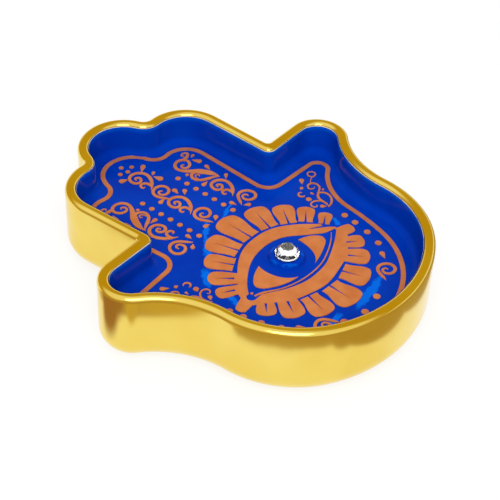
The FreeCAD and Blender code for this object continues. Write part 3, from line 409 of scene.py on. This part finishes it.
def painted_streak_mask(tree):
    """Rises to one inside the painted reflection streaks, with a frayed edge."""
    place = add_node(tree, "ShaderNodeTexCoord")
    grain_noise = mottle(tree, STREAK_GRAIN, 4.0)
    offset = add_node(tree, "ShaderNodeVectorMath", {
        0: grain_noise.outputs["Color"], 1: (-0.5, -0.5, -0.5)}, operation="ADD")
    offset = add_node(tree, "ShaderNodeVectorMath", {0: offset, "Scale": STREAK_FRAY * MM}, operation="SCALE")
    frayed = add_node(tree, "ShaderNodeVectorMath", {0: place.outputs["Object"], 1: offset}, operation="ADD")
    flat = add_node(tree, "ShaderNodeVectorMath", {0: frayed, 1: (1, 1, 0)}, operation="MULTIPLY")
    mask = 0.0
    for x, y, length, width, turn in PAINTED_STREAKS:
        local = add_node(tree, "ShaderNodeMapping", {
            "Vector": flat, "Location": (x * MM, y * MM, 0), "Rotation": (0, 0, math.radians(turn)),
            "Scale": (length * MM / 2, width * MM / 2, 1)}, vector_type="TEXTURE")
        reach = add_node(tree, "ShaderNodeVectorMath", {0: local}, operation="LENGTH")
        mark = add_node(tree, "ShaderNodeMapRange", {
            "Value": reach.outputs["Value"], "From Min": 0.7, "From Max": 1.25, "To Min": 1.0, "To Max": 0.0},
            interpolation_type="SMOOTHSTEP")
        mask = add_node(tree, "ShaderNodeMath", {0: mask, 1: mark}, operation="MAXIMUM")
    return mask


print("brush marks:", len(PAINTED_STREAKS))

# %% Painted reflections under the rim and in the streaks
# The glaze is lighter under the rim: a painted reflection of the lit surroundings.
SHEEN_FROM_Z, SHEEN_TO_Z, RIM_PAINTED_SHEEN = 27.0, 29.6, 0.35
STREAK_LIGHTNESS = 0.85
glaze, tree = new_finish("cobalt_glaze_brushed")
place = add_node(tree, "ShaderNodeTexCoord")
height = add_node(tree, "ShaderNodeSeparateXYZ", {0: place.outputs["Object"]})
painted_sheen_under_rim = add_node(tree, "ShaderNodeMapRange", {
    "Value": height.outputs["Z"], "From Min": SHEEN_FROM_Z * MM, "From Max": SHEEN_TO_Z * MM,
    "To Max": RIM_PAINTED_SHEEN}, interpolation_type="SMOOTHSTEP")
# The streaks lighten the glaze as painted reflection.
painted_streaks = add_node(tree, "ShaderNodeMath", {0: painted_streak_mask(tree), 1: STREAK_LIGHTNESS}, operation="MULTIPLY")
painted_lightening = add_node(tree, "ShaderNodeMath", {0: painted_streaks, 1: painted_sheen_under_rim}, operation="MAXIMUM")
print("nodes in the glaze so far:", len(tree.nodes))

# %% Painted highlights by the stone
# Flecks of lighter blue on the pupil's rounded edge round the stone are painted highlights.
HIGHLIGHT_GRAIN, HIGHLIGHT_CENTRE_Z, STONE_HIGHLIGHT_LIGHTNESS = 2.4, 19.0, 0.4
from_stone = add_node(tree, "ShaderNodeVectorMath", {
    0: place.outputs["Object"], 1: Vector((*EYE, HIGHLIGHT_CENTRE_Z)) * MM}, operation="DISTANCE")
past_stone = add_node(tree, "ShaderNodeMapRange", {
    "Value": from_stone.outputs["Value"], "From Min": 4.8 * MM, "From Max": 5.3 * MM, "To Max": STONE_HIGHLIGHT_LIGHTNESS},
    interpolation_type="SMOOTHSTEP")
on_boss = add_node(tree, "ShaderNodeMapRange", {
    "Value": from_stone.outputs["Value"], "From Min": 6.0 * MM, "From Max": 6.9 * MM,
    "To Min": 1.0, "To Max": 0.0}, interpolation_type="SMOOTHSTEP")
highlight_flecks = add_node(tree, "ShaderNodeMapRange", {
    "Value": mottle(tree, HIGHLIGHT_GRAIN, 1.0), "From Min": 0.5, "From Max": 0.56},
    interpolation_type="SMOOTHSTEP")
painted_highlight_by_stone = add_node(tree, "ShaderNodeMath", {0: past_stone, 1: on_boss}, operation="MULTIPLY")
painted_highlight_by_stone = add_node(tree, "ShaderNodeMath", {0: painted_highlight_by_stone, 1: highlight_flecks}, operation="MULTIPLY")
painted_lightening = add_node(tree, "ShaderNodeMath", {0: painted_lightening, 1: painted_highlight_by_stone}, operation="MAXIMUM")
print("nodes in the glaze so far:", len(tree.nodes))

# %% Cobalt glaze
POOL_PATCH, WAVE_LENGTH, WAVE_HEIGHT = 18.0, 9.0, 0.12
BARE_FROM_Z, BARE_TO_Z = 29.62, 29.78
bare_edge = add_node(tree, "ShaderNodeMapRange", {
    "Value": height.outputs["Z"], "From Min": BARE_FROM_Z * MM, "From Max": BARE_TO_Z * MM},
    interpolation_type="SMOOTHSTEP")
deep_colour = add_node(tree, "ShaderNodeValToRGB", {
    "Fac": mottle(tree, POOL_PATCH, 4.0, (1, 1, 0.6))}, stops=((0.3, "#002C9A"), (0.7, "#0038AA")))
# The lighter blue is painted reflection and highlight, mixed into the deep glaze.
glaze_colour = add_node(tree, "ShaderNodeMix", {
    "Factor": painted_lightening, 6: deep_colour, 7: paint("#0068D8")}, data_type="RGBA")
glaze_colour = add_node(tree, "ShaderNodeMix", {
    "Factor": bare_edge, 6: glaze_colour.outputs[2], 7: paint("#D8C48C")}, data_type="RGBA")
relief = add_node(tree, "ShaderNodeBump", {
    "Height": mottle(tree, WAVE_LENGTH, 2.0), "Strength": 0.5, "Distance": WAVE_HEIGHT * MM})
finish_with(glaze, tree, {
    "Base Color": glaze_colour.outputs[2], "Roughness": 0.12, "IOR": 1.5, "Specular IOR Level": 0.07,
    "Specular Tint": paint("#2A5CD8"), "Normal": relief})

# %% [markdown]
# ## The glazed bowl
#
# The glaze starts under the gold, follows the wall and the cove down to the floor, and rises over the
# pupil. The flat floor is filled by a triangulation that keeps the outline and the foot of the pupil.
# Its triangles are even, because long thin ones show as streaks where the shading is smooth.

# %% Wall and cove rows
GLAZE_TURNS = (128, 134, 140, 146, 152, 158, 164, 170, 175, 180)
GLAZE_WALL_Z = (28.6, 27.0, 24.5, 22.0, 20.8)
GLAZE_TUCK, TUCK_ENDS, TUCK_RUN = 0.04, 180, 14
FLOOR_LEAD = 0.4
bm = bmesh.new()
rows = []
for turn in GLAZE_TURNS:
    # The glaze lies a hair under the gold near the paint edge.
    reach = RIM_ROUND - GLAZE_TUCK * min(1.0, (TUCK_ENDS - turn) / TUCK_RUN)
    angle = math.radians(turn)
    rows.append(ring(INNER_WALK, RIM_ROUND + reach * math.cos(angle), RIM_ROUND_Z + reach * math.sin(angle)))
rows += [ring(INNER_WALK, 0.0, z) for z in GLAZE_WALL_Z]
rows += [ring(INNER_WALK, offset, z) for offset, z in arc_steps(-COVE, FLOOR_Z + COVE, COVE, 0, -90, 14)]
rows.append(ring(INNER_WALK, -COVE - FLOOR_LEAD, FLOOR_Z))
wall_verts = skin_mesh(bm, rows)
print("rows down the wall:", len(wall_verts))

# %% Pupil rows
PUPIL_SIDES = 96
PUPIL_FLAT_RADII = (5.0, 3.5, 1.8)
crest_r, crest_z = BOSS_RADIUS - BOSS_TOP_ROUND, FLOOR_Z + BOSS_HEIGHT - BOSS_TOP_ROUND
foot_z = FLOOR_Z + BOSS_FOOT_ROUND
foot_r = crest_r + math.sqrt((BOSS_TOP_ROUND + BOSS_FOOT_ROUND) ** 2 - (foot_z - crest_z) ** 2)
meet = math.degrees(math.atan2(foot_z - crest_z, foot_r - crest_r))
profile = [(foot_r + FLOOR_LEAD, FLOOR_Z)]
profile += list(arc_steps(foot_r, foot_z, BOSS_FOOT_ROUND, 270, 180 + meet, 10))
profile += list(arc_steps(crest_r, crest_z, BOSS_TOP_ROUND, meet, 90, 12))[1:]
profile += [(radius, FLOOR_Z + BOSS_HEIGHT) for radius in PUPIL_FLAT_RADII]


def pupil_ring(radius, z):
    """A round row of points about the pupil."""
    turns = [2 * math.pi * step / PUPIL_SIDES for step in range(PUPIL_SIDES)]
    return [Vector((EYE.x + radius * math.cos(t), EYE.y + radius * math.sin(t), z)) * MM for t in turns]


pupil_verts = skin_mesh(bm, [pupil_ring(radius, z) for radius, z in profile])
bm.faces.new(pupil_verts[-1])
print("rows over the pupil:", len(pupil_verts))

# %% Inside or near an outline
def inside(point, polygon):
    """True if a point lies inside a closed polygon."""
    crossings = 0
    for a, b in zip(polygon, polygon[1:] + polygon[:1]):
        if (a.y > point.y) != (b.y > point.y):
            crossings += point.x < a.x + (point.y - a.y) / (b.y - a.y) * (b.x - a.x)
    return crossings % 2 == 1


def near(point, polygon, reach):
    """True if a corner of the polygon lies within reach of the point."""
    return any((corner - point).length_squared < reach * reach for corner in polygon)


# %% Filling a flat face with even triangles
GRID_COLUMNS, GRID_LINES = 40, 50
LINE_SHARE, CLEAR_SHARE = 0.87, 0.6


def grid_between(edge, hole, spacing):
    """Points of an even triangle grid that lie between an outline and a hole, clear of both."""
    grid = []
    for column in range(-GRID_COLUMNS, GRID_COLUMNS + 1):
        for line in range(-GRID_LINES, GRID_LINES + 1):
            point = Vector((column + 0.5 * (line % 2), line * LINE_SHARE)) * spacing
            between = inside(point, edge) and not inside(point, hole)
            if between and not near(point, edge + hole, spacing * CLEAR_SHARE):
                grid.append(point)
    return grid


def fill_between(bm, edge_verts, hole_verts, height, spacing):
    """Triangulates the flat region between an outline and a hole."""
    edge = [v.co.xy / MM for v in edge_verts]
    hole = [v.co.xy / MM for v in hole_verts]
    sides = [(i, (i + 1) % len(edge)) for i in range(len(edge))]
    sides += [(len(edge) + i, len(edge) + (i + 1) % len(hole)) for i in range(len(hole))]
    points = edge + hole + grid_between(edge, hole, spacing)
    flat, _, triangles, origins, _, _ = geometry.delaunay_2d_cdt(points, sides, [], 0, 1e-6)
    known = list(edge_verts) + list(hole_verts)
    verts = []
    for place, origin in zip(flat, origins):
        fixed = origin and origin[0] < len(known)
        verts.append(known[origin[0]] if fixed else bm.verts.new((*(place * MM), height * MM)))
    for triangle in triangles:
        middle = sum((flat[i] for i in triangle), Vector((0, 0))) / 3
        if inside(middle, edge) and not inside(middle, hole):
            bm.faces.new([verts[i] for i in triangle])


# %% Glaze skin
FLOOR_GRID = 2.5
fill_between(bm, wall_verts[-1], pupil_verts[0], FLOOR_Z, FLOOR_GRID)
bmesh.ops.recalc_face_normals(bm, faces=bm.faces)
if sum(face.normal.z for face in bm.faces) < 0:
    bmesh.ops.reverse_faces(bm, faces=bm.faces)
piece_from(bm, "cobalt_glaze_skin", glaze, "blue_glaze")

# %% [markdown]
# ## Copper print
#
# The ornament is a lustre transfer: a thin film of copper colour, fired into the glaze. It is part
# metal, part stain, and stands up by a quarter of a millimetre. The CAD pieces keep their exact form.
# The film is cloudy over about 6 mm and dull. Its grain is drawn 0.6 mm wide, coarser than the real
# one, so that it shows.

# %% Copper lustre
FILM_CLOUD, FILM_GRAIN, FILM_RELIEF = 6.0, 0.6, 0.03
copper, tree = new_finish("copper_lustre_transfer")
copper_colour = add_node(tree, "ShaderNodeValToRGB", {
    "Fac": mottle(tree, FILM_CLOUD, 4.0)}, stops=((0.35, "#D27A46"), (0.68, "#E08C57")))
relief = add_node(tree, "ShaderNodeBump", {
    "Height": mottle(tree, FILM_GRAIN, 3.0), "Strength": 0.15, "Distance": FILM_RELIEF * MM})
finish_with(copper, tree, {
    "Base Color": copper_colour, "Metallic": 0.45, "Roughness": 0.42, "Normal": relief})

# %% [markdown]
# ## Bare clay underneath
#
# The dish stands on an unglazed foot, and a recess saves clay and weight under the floor. The clay is
# biscuit-fired earthenware: matt, porous and off-white, so it has a high roughness. Its pores are
# drawn 0.8 mm wide, coarser than real ones, so that they show. The recess is two rounds joined by the
# lines that touch both.

# %% Earthenware
PORE, PORE_DEPTH = 0.8, 0.08
clay, tree = new_finish("biscuit_fired_earthenware")
pores = mottle(tree, PORE, 5.0)
clay_colour = add_node(tree, "ShaderNodeValToRGB", {"Fac": pores}, stops=((0.3, "#E4DACA"), (0.7, "#F2EBDF")))
relief = add_node(tree, "ShaderNodeBump", {"Height": pores, "Strength": 0.35, "Distance": PORE_DEPTH * MM})
finish_with(clay, tree, {"Base Color": clay_colour, "Roughness": 0.85, "Normal": relief})

# %% Outline of the recess
RECESS_SAMPLES = 60
RECESS_INSET = FOOT_INSET + FOOT_WIDTH
RECESS_HEEL_RADIUS = PALM_REACH - RECESS_INSET
RECESS_FINGER_RADIUS = CROTCH_SIDE / 2
RECESS_HEEL = Vector((0, RECESS_HEEL_RADIUS + RECESS_INSET - HALF_LENGTH))
RECESS_FINGER = Vector((0, FINGER.y - RECESS_INSET))


def recess_walk():
    """Places and outward directions round the recess."""
    low, _ = touching_line(RECESS_HEEL, RECESS_HEEL_RADIUS, RECESS_FINGER, RECESS_FINGER_RADIUS)
    lean_turn = math.atan2(low.y - RECESS_HEEL.y, low.x)
    places = []
    for centre, radius, first, last in (
            (RECESS_HEEL, RECESS_HEEL_RADIUS, -math.pi - lean_turn, lean_turn),
            (RECESS_FINGER, RECESS_FINGER_RADIUS, lean_turn, math.pi - lean_turn)):
        for step in range(RECESS_SAMPLES + 1):
            turn = first + (last - first) * step / RECESS_SAMPLES
            out = Vector((math.cos(turn), math.sin(turn)))
            places.append((centre + out * radius, out))
    return places


RECESS_WALK = recess_walk()
print("samples round the recess:", len(RECESS_WALK))

# %% Foot and recess
RECESS_Z = FLOOR_Z - COAT - FLOOR_THICKNESS
FOOT_SIDE_Z = 0.35
# Steps inwards from the foot's side and down to the table, and offsets and heights up the recess.
FOOT_EDGE = ((0.05, 0.18), (0.18, 0.31), (0.35, 0.35), (0.8, 0.35))
RECESS_EDGE = ((0.8, 0.0), (0.3, 0.0), (0.1, 0.08), (0.0, 0.3), (0.0, 4.0), (0.0, 8.0))
RECESS_CEILING_LEAD, FOOT_GRID = 0.6, 3.0
bm = bmesh.new()
rows = [ring(OUTER_WALK, -FOOT_INSET, z) for z in (FOOT_HEIGHT, FOOT_SIDE_Z)]
rows += [ring(OUTER_WALK, -FOOT_INSET - step, FOOT_SIDE_Z - drop) for step, drop in FOOT_EDGE]
foot_rows = skin_mesh(bm, rows)
recess_profile = list(RECESS_EDGE)
recess_profile += list(arc_steps(-RECESS_ROUND, RECESS_Z - RECESS_ROUND, RECESS_ROUND, 0, 90, 10))
recess_profile += [(-RECESS_ROUND - RECESS_CEILING_LEAD, RECESS_Z)]
recess_rows = skin_mesh(bm, [ring(RECESS_WALK, offset, z) for offset, z in recess_profile])
bm.faces.new(recess_rows[-1])
fill_between(bm, foot_rows[-1], recess_rows[0], 0.0, FOOT_GRID)
bmesh.ops.recalc_face_normals(bm, faces=bm.faces)
piece_from(bm, "bare_clay_underside", clay, "ceramic_body")

# %% [markdown]
# ## Crystal, foil and glue
#
# The crystal is a flat-backed cut stone. Clear glass alone would look dark here, so such stones carry a
# silver foil on their back, which throws the light out again through the facets. A painted dark
# reflection darkens the foil near the middle, in flakes of about a millimetre, so the stone sparkles
# white round a dark heart.

# %% Crystal and glue
crystal, tree = new_finish("cut_crystal_glass")
finish_with(crystal, tree, {
    "Base Color": paint("#FFFFFF"), "Transmission Weight": 1.0, "Roughness": 0.0, "IOR": 1.56})
glue, tree = new_finish("clear_setting_resin")
finish_with(glue, tree, {
    "Base Color": paint("#F4F8FF"), "Transmission Weight": 1.0, "Roughness": 0.08, "IOR": 1.47})

# %% Silver foil
FLAKE, FLAKE_REACH = 1.3, 5.0
DARK_HEART_MIDDLE = Vector((*(EYE + Vector((1.2, 0.9))), GLUE_TOP_Z))
foil, tree = new_finish("silver_mirror_foil")
place = add_node(tree, "ShaderNodeTexCoord")
from_middle = add_node(tree, "ShaderNodeVectorMath", {
    0: place.outputs["Object"], 1: DARK_HEART_MIDDLE * MM}, operation="DISTANCE")
painted_dark_heart = add_node(tree, "ShaderNodeMath", {
    0: mottle(tree, FLAKE, 2.0), 1: FLAKE_REACH * MM, 2: from_middle.outputs["Value"]},
    operation="MULTIPLY_ADD")
# Near the middle the foil is painted dark, as a painted dark reflection in the stone.
foil_colour = add_node(tree, "ShaderNodeValToRGB", {"Fac": painted_dark_heart}, stops=(
    (5.5 * MM, "#202328"), (6.0 * MM, "#EEF1F4")))
finish_with(foil, tree, {"Base Color": foil_colour, "Metallic": 1.0, "Roughness": 0.12})

# %% Foil with its pressed facets
FOIL_Z = GLUE_TOP_Z + 0.03
FOIL_SECTORS, FOIL_RELIEF = 16, 0.09
# Radius, lift of every second corner, and turn of the row in sectors.
FOIL_ROWS = ((1.6, 0.08, 0.0), (3.1, 0.0, 0.5), (STONE_RADIUS, 0.09, 0.0))
bm = bmesh.new()
hub = bm.verts.new(Vector((*EYE, FOIL_Z + 0.02)) * MM)
foil_rows = []
for radius, lift, shift in FOIL_ROWS:
    row = []
    for step in range(FOIL_SECTORS):
        turn = 2 * math.pi * (step + shift) / FOIL_SECTORS
        corner = EYE + Vector((math.cos(turn), math.sin(turn))) * radius
        rise = lift if step % 2 else FOIL_RELIEF - lift
        row.append(bm.verts.new(Vector((*corner, FOIL_Z + rise)) * MM))
    foil_rows.append(row)
for step in range(FOIL_SECTORS):
    after = (step + 1) % FOIL_SECTORS
    bm.faces.new((hub, foil_rows[0][step], foil_rows[0][after]))
    for row, wider in zip(foil_rows, foil_rows[1:]):
        bm.faces.new((row[step], wider[step], wider[after]))
        bm.faces.new((row[step], wider[after], row[after]))
foil_piece = piece_from(bm, "pressed_silver_foil", foil, "stone_foil")
foil_piece.data.polygons.foreach_set("use_smooth", [False] * len(foil_piece.data.polygons))

# %% Finishes for the CAD pieces
FINISH_OF = {"stone": crystal, "stone_glue": glue}
for name, node in frame["nodes"].items():
    node.data.materials[0] = FINISH_OF.get(name, copper)
print("CAD pieces with a finish:", len(frame["nodes"]))

# %% [markdown]
# ## What the gold mirrors
#
# Metal shows little but its surroundings, so they are laid out as the photograph's gold shows them:
# white paper close to the wall, which keeps the gold pale, then from about 25 mm away a warm, dim
# table on the camera's side, which draws the dark band under the crest, and a few dark patches at the
# edge of the sheet, which make the brown wedge on the thumb. Only gloss sees this. Eyes and clear
# glass see plain white, and the paper still takes the shadow of the dish. Shades painted on the gold
# itself would be simpler, but they would stay put when the view moves.

# %% The camera's side
VIEW_AZIMUTH, VIEW_ELEVATION, VIEW_ROLL = math.radians(-52.53), math.radians(39.0), math.radians(2.01)
to_camera = Vector((math.sin(VIEW_AZIMUTH), -math.cos(VIEW_AZIMUTH), 0))
print("level way to the camera:", [round(value, 3) for value in to_camera])

# %% Shades on the table
ROOM, FAR_TABLE, DARK_PATCH = "#C4A62C", "#AC8C1A", "#935C08"
# Place of the middle, radius of the full shade and radius where it ends.
DARK_PATCHES = (
    (-92.0, 22.0, 14.0, 24.0, DARK_PATCH), (-103.0, 3.0, 10.0, 19.0, DARK_PATCH),
    (-32.0, -101.0, 10.5, 13.5, FAR_TABLE), (-88.0, -24.0, 8.5, 13.0, ROOM))
SHEET_END, SHEET_END_BLUR = 25.4, 1.4
SHEET_RIPPLE, RIPPLES_PER_METRE = 3.5, 60.0
FRONT_FROM, FRONT_TO = 10.0, 50.0
# Straight edges of the sheet at the front right: the way across each, and how far out it lies.
SHEET_EDGES = (((0.622, -0.783, 0.0), 81.0), ((0.049, -0.999, 0.0), 89.0))
EDGE_BLUR = 2.0
print("dark places:", len(DARK_PATCHES), "straight edges:", len(SHEET_EDGES))

# %% Table beyond the sheet
paper, tree = new_finish("matt_white_paper")
place = add_node(tree, "ShaderNodeNewGeometry")
away = add_node(tree, "ShaderNodeAttribute", attribute_name="away")
ripple = add_node(tree, "ShaderNodeTexNoise", {
    "Vector": place.outputs["Position"], "Scale": RIPPLES_PER_METRE, "Detail": 3.0})
sheet_edge = add_node(tree, "ShaderNodeMath", {
    0: ripple, 1: SHEET_RIPPLE * MM, 2: away.outputs["Fac"]}, operation="MULTIPLY_ADD")
past_sheet = add_node(tree, "ShaderNodeMapRange", {
    "Value": sheet_edge, "From Min": SHEET_END * MM, "From Max": (SHEET_END + SHEET_END_BLUR) * MM},
    interpolation_type="SMOOTHSTEP")
towards = add_node(tree, "ShaderNodeVectorMath", {
    0: place.outputs["Position"], 1: to_camera}, operation="DOT_PRODUCT")
front_floor = add_node(tree, "ShaderNodeMapRange", {
    "Value": towards.outputs["Value"], "From Min": FRONT_FROM * MM, "From Max": FRONT_TO * MM},
    interpolation_type="SMOOTHSTEP")
dark_table = add_node(tree, "ShaderNodeMath", {0: past_sheet, 1: front_floor}, operation="MULTIPLY")
for way, reach_out in SHEET_EDGES:
    across = add_node(tree, "ShaderNodeVectorMath", {
        0: place.outputs["Position"], 1: way}, operation="DOT_PRODUCT")
    beyond = add_node(tree, "ShaderNodeMapRange", {
        "Value": across.outputs["Value"], "From Min": reach_out * MM,
        "From Max": (reach_out + EDGE_BLUR) * MM}, interpolation_type="SMOOTHSTEP")
    dark_table = add_node(tree, "ShaderNodeMath", {0: dark_table, 1: beyond}, operation="MAXIMUM")
print("nodes in the paper so far:", len(tree.nodes))

# %% Colour that the gold sees
seen_colour = add_node(tree, "ShaderNodeMix", {
    "Factor": dark_table, 6: paint("#FFFFFF"), 7: paint(FAR_TABLE)}, data_type="RGBA")
for x, y, inner, outer, shade in DARK_PATCHES:
    from_patch = add_node(tree, "ShaderNodeVectorMath", {
        0: place.outputs["Position"], 1: (x * MM, y * MM, 0)}, operation="DISTANCE")
    cover = add_node(tree, "ShaderNodeMapRange", {
        "Value": from_patch.outputs["Value"], "From Min": inner * MM, "From Max": outer * MM,
        "To Min": 1.0, "To Max": 0.0}, interpolation_type="SMOOTHSTEP")
    seen_colour = add_node(tree, "ShaderNodeMix", {
        "Factor": cover, 6: seen_colour.outputs[2], 7: paint(shade)}, data_type="RGBA")
print("nodes in the paper so far:", len(tree.nodes))

# %% Paper
GLOSS_SHARE, EYE_SHARE = 0.9, 0.75
light_path = add_node(tree, "ShaderNodeLightPath")
matt = add_node(tree, "ShaderNodeBsdfDiffuse", {"Color": paint("#F4F4F4")})
glow = add_node(tree, "ShaderNodeEmission", {"Color": paint("#FFFFFF"), "Strength": 1.0})
mirrored_glow = add_node(tree, "ShaderNodeEmission", {"Color": seen_colour.outputs[2], "Strength": 1.0})
gloss = add_node(tree, "ShaderNodeMath", {
    0: light_path.outputs["Is Glossy Ray"], 1: GLOSS_SHARE}, operation="MULTIPLY")
for_metal = add_node(tree, "ShaderNodeMixShader", {"Fac": gloss, 1: matt, 2: mirrored_glow})
to_eye = add_node(tree, "ShaderNodeMath", {
    0: light_path.outputs["Is Camera Ray"], 1: light_path.outputs["Is Transmission Ray"]},
    operation="MAXIMUM")
eye_glow = add_node(tree, "ShaderNodeMath", {0: to_eye, 1: EYE_SHARE}, operation="MULTIPLY")
for_eye = add_node(tree, "ShaderNodeMixShader", {"Fac": eye_glow, 1: for_metal, 2: glow})
add_node(tree, "ShaderNodeOutputMaterial", {"Surface": for_eye})
print("material", paper.name)

# %% [markdown]
# ## The table
#
# The table is flat. Near the dish it is a grid fine enough to store, at each corner, how far the wall
# is, and beyond that one wide strip runs out on every side. It lies a hair below the foot, so that the
# two flat faces do not flicker.

# %% Table
SHEET_HALF, TABLE_HALF, SHEET_CELLS, TABLE_Z = 160.0, 2500.0, 80, -0.03
foot_line = ring(OUTER_WALK, WALL, 0.0)
nearest = kdtree.KDTree(len(foot_line))
for number, corner in enumerate(foot_line):
    nearest.insert(corner, number)
nearest.balance()
bm = bmesh.new()
bmesh.ops.create_grid(bm, x_segments=SHEET_CELLS, y_segments=SHEET_CELLS, size=SHEET_HALF * MM)
grown = bmesh.ops.extrude_edge_only(bm, edges=[edge for edge in bm.edges if edge.is_boundary])
for item in grown["geom"]:
    if isinstance(item, bmesh.types.BMVert):
        item.co *= TABLE_HALF / SHEET_HALF
distance = bm.verts.layers.float.new("away")
for vert in bm.verts:
    vert[distance] = nearest.find(vert.co)[2]
    vert.co.z = TABLE_Z * MM
mesh = bpy.data.meshes.new("paper_table")
bm.to_mesh(mesh)
bm.free()
mesh.materials.append(paper)
table = bpy.data.objects.new("paper_table", mesh)
bpy.context.collection.objects.link(table)
print("table", len(mesh.polygons), "faces")

# %% [markdown]
# ## Surroundings
#
# Two large white cards, one to the left and one to the right of the camera, shade off into the warm
# room and brighten the crest in broad soft strokes. A low white backdrop stands on the right, behind
# the dish. Only gloss sees them: they are made in the world rather than as objects, so that they throw
# no hard light. Eyes and clear glass see plain white, and matt surfaces get an even white light.

# %% Cards and backdrop
# Azimuth and elevation in degrees, and the cosines at which the card begins and is full.
WHITE_CARDS = ((-100.0, 55.0, 0.6, 0.88), (-25.0, 35.0, 0.7, 0.92))
CARD_SHARE = 0.9
world = bpy.data.worlds.new("photo_tent")
bpy.context.scene.world = world
world.use_nodes = True
tree = world.node_tree
tree.nodes.clear()
ray = add_node(tree, "ShaderNodeTexCoord")
aim = add_node(tree, "ShaderNodeSeparateXYZ", {0: ray.outputs["Generated"]})
on_right = add_node(tree, "ShaderNodeMapRange", {
    "Value": aim.outputs["X"], "From Min": 0.2, "From Max": 0.6}, interpolation_type="SMOOTHSTEP")
low_down = add_node(tree, "ShaderNodeMapRange", {
    "Value": aim.outputs["Z"], "From Min": 0.1, "From Max": 0.35, "To Min": 1.0, "To Max": 0.0},
    interpolation_type="SMOOTHSTEP")
bright = add_node(tree, "ShaderNodeMath", {0: on_right, 1: low_down}, operation="MULTIPLY")
for azimuth, elevation, edge, middle in WHITE_CARDS:
    turn, rise = math.radians(azimuth), math.radians(elevation)
    to_card = (math.sin(turn) * math.cos(rise), -math.cos(turn) * math.cos(rise), math.sin(rise))
    card = add_node(tree, "ShaderNodeVectorMath", {
        0: ray.outputs["Generated"], 1: to_card}, operation="DOT_PRODUCT")
    cover = add_node(tree, "ShaderNodeMapRange", {
        "Value": card.outputs["Value"], "From Min": edge, "From Max": middle, "To Max": CARD_SHARE},
        interpolation_type="SMOOTHSTEP")
    bright = add_node(tree, "ShaderNodeMath", {0: bright, 1: cover}, operation="MAXIMUM")
print("white cards:", len(WHITE_CARDS))

# %% World
SOFT_LEVEL = 0.8
light_path = add_node(tree, "ShaderNodeLightPath")
room_colour = add_node(tree, "ShaderNodeMix", {
    "Factor": bright, 6: paint(ROOM), 7: paint("#FFFFFF")}, data_type="RGBA")
around = add_node(tree, "ShaderNodeBackground", {"Color": room_colour.outputs[2], "Strength": 1.0})
plain = add_node(tree, "ShaderNodeBackground", {"Color": paint("#FFFFFF"), "Strength": 1.0})
soft = add_node(tree, "ShaderNodeBackground", {"Color": paint("#FFFFFF"), "Strength": SOFT_LEVEL})
for_glossy = add_node(tree, "ShaderNodeMixShader", {
    "Fac": light_path.outputs["Is Glossy Ray"], 1: soft, 2: around})
to_eye = add_node(tree, "ShaderNodeMath", {
    0: light_path.outputs["Is Camera Ray"], 1: light_path.outputs["Is Transmission Ray"]},
    operation="MAXIMUM")
for_eye = add_node(tree, "ShaderNodeMixShader", {"Fac": to_eye, 1: for_glossy, 2: plain})
add_node(tree, "ShaderNodeOutputWorld", {"Surface": for_eye})
print("world", world.name)

# %% [markdown]
# ## Lamps
#
# A wide softbox over the camera lights the dish. The smaller bulb in its middle is the only lamp that
# gloss may show: it draws the white line along the crest. A weak lamp overhead fills the bowl.

# %% Lamps
# Places and sizes are in metres and powers in watts, as Blender counts them.
LAMP_AIM = Vector((0, 0, 0.02))


def soft_lamp(name, place, size, power, mirrored=True):
    """A square softbox aimed at the dish; mirrored says whether gloss may show it."""
    lamp = bpy.data.lights.new(name, "AREA")
    lamp.shape, lamp.size, lamp.energy = "SQUARE", size, power
    holder = bpy.data.objects.new(name, lamp)
    holder.location = place
    holder.rotation_euler = (LAMP_AIM - Vector(place)).to_track_quat("-Z", "Y").to_euler()
    holder.visible_glossy = mirrored
    bpy.context.collection.objects.link(holder)
    print("lamp", name, "at", [round(value, 2) for value in place])


soft_lamp("top_softbox", (0.1, 0.1, 1.1), 1.0, 1.0, mirrored=False)
soft_lamp("key_softbox", to_camera * 0.75 + Vector((0, 0, 0.72)), 1.0, 6.0, mirrored=False)
soft_lamp("key_bulb", to_camera * 0.78 + Vector((0, 0, 0.7)), 0.5, 2.6)

# %% [markdown]
# ## Camera
#
# The camera stands where the photograph was taken: half a metre away at the left front, 39 degrees up,
# and a little rolled. The shift places the dish in the frame without turning the camera.

# %% Camera
DISTANCE = 504.78
FOCAL_PIXELS, CENTRE_X, CENTRE_Y, IMAGE_PIXELS = 1386.23, 239.0, 207.33, 500
AIM = Vector((0, 0, 30.0))
back = Vector((math.sin(VIEW_AZIMUTH) * math.cos(VIEW_ELEVATION),
               -math.cos(VIEW_AZIMUTH) * math.cos(VIEW_ELEVATION), math.sin(VIEW_ELEVATION)))
level = Vector((0, 0, 1)).cross(back).normalized()
upright = back.cross(level)
across = level * math.cos(VIEW_ROLL) + upright * math.sin(VIEW_ROLL)
upward = upright * math.cos(VIEW_ROLL) - level * math.sin(VIEW_ROLL)
lens = bpy.data.cameras.new("camera")
lens.sensor_width = 36.0
lens.lens = FOCAL_PIXELS / IMAGE_PIXELS * lens.sensor_width
lens.shift_x = (IMAGE_PIXELS / 2 - CENTRE_X) / IMAGE_PIXELS
lens.shift_y = (CENTRE_Y - IMAGE_PIXELS / 2) / IMAGE_PIXELS
camera = bpy.data.objects.new("camera", lens)
turned = Matrix((across, upward, back)).transposed().to_4x4()
camera.matrix_world = Matrix.Translation((AIM + back * DISTANCE) * MM) @ turned
bpy.context.collection.objects.link(camera)
bpy.context.scene.camera = camera
bpy.context.scene.view_settings.view_transform = "Standard"
print("camera", round(lens.lens, 1), "mm lens, at", [round(value, 3) for value in camera.location])
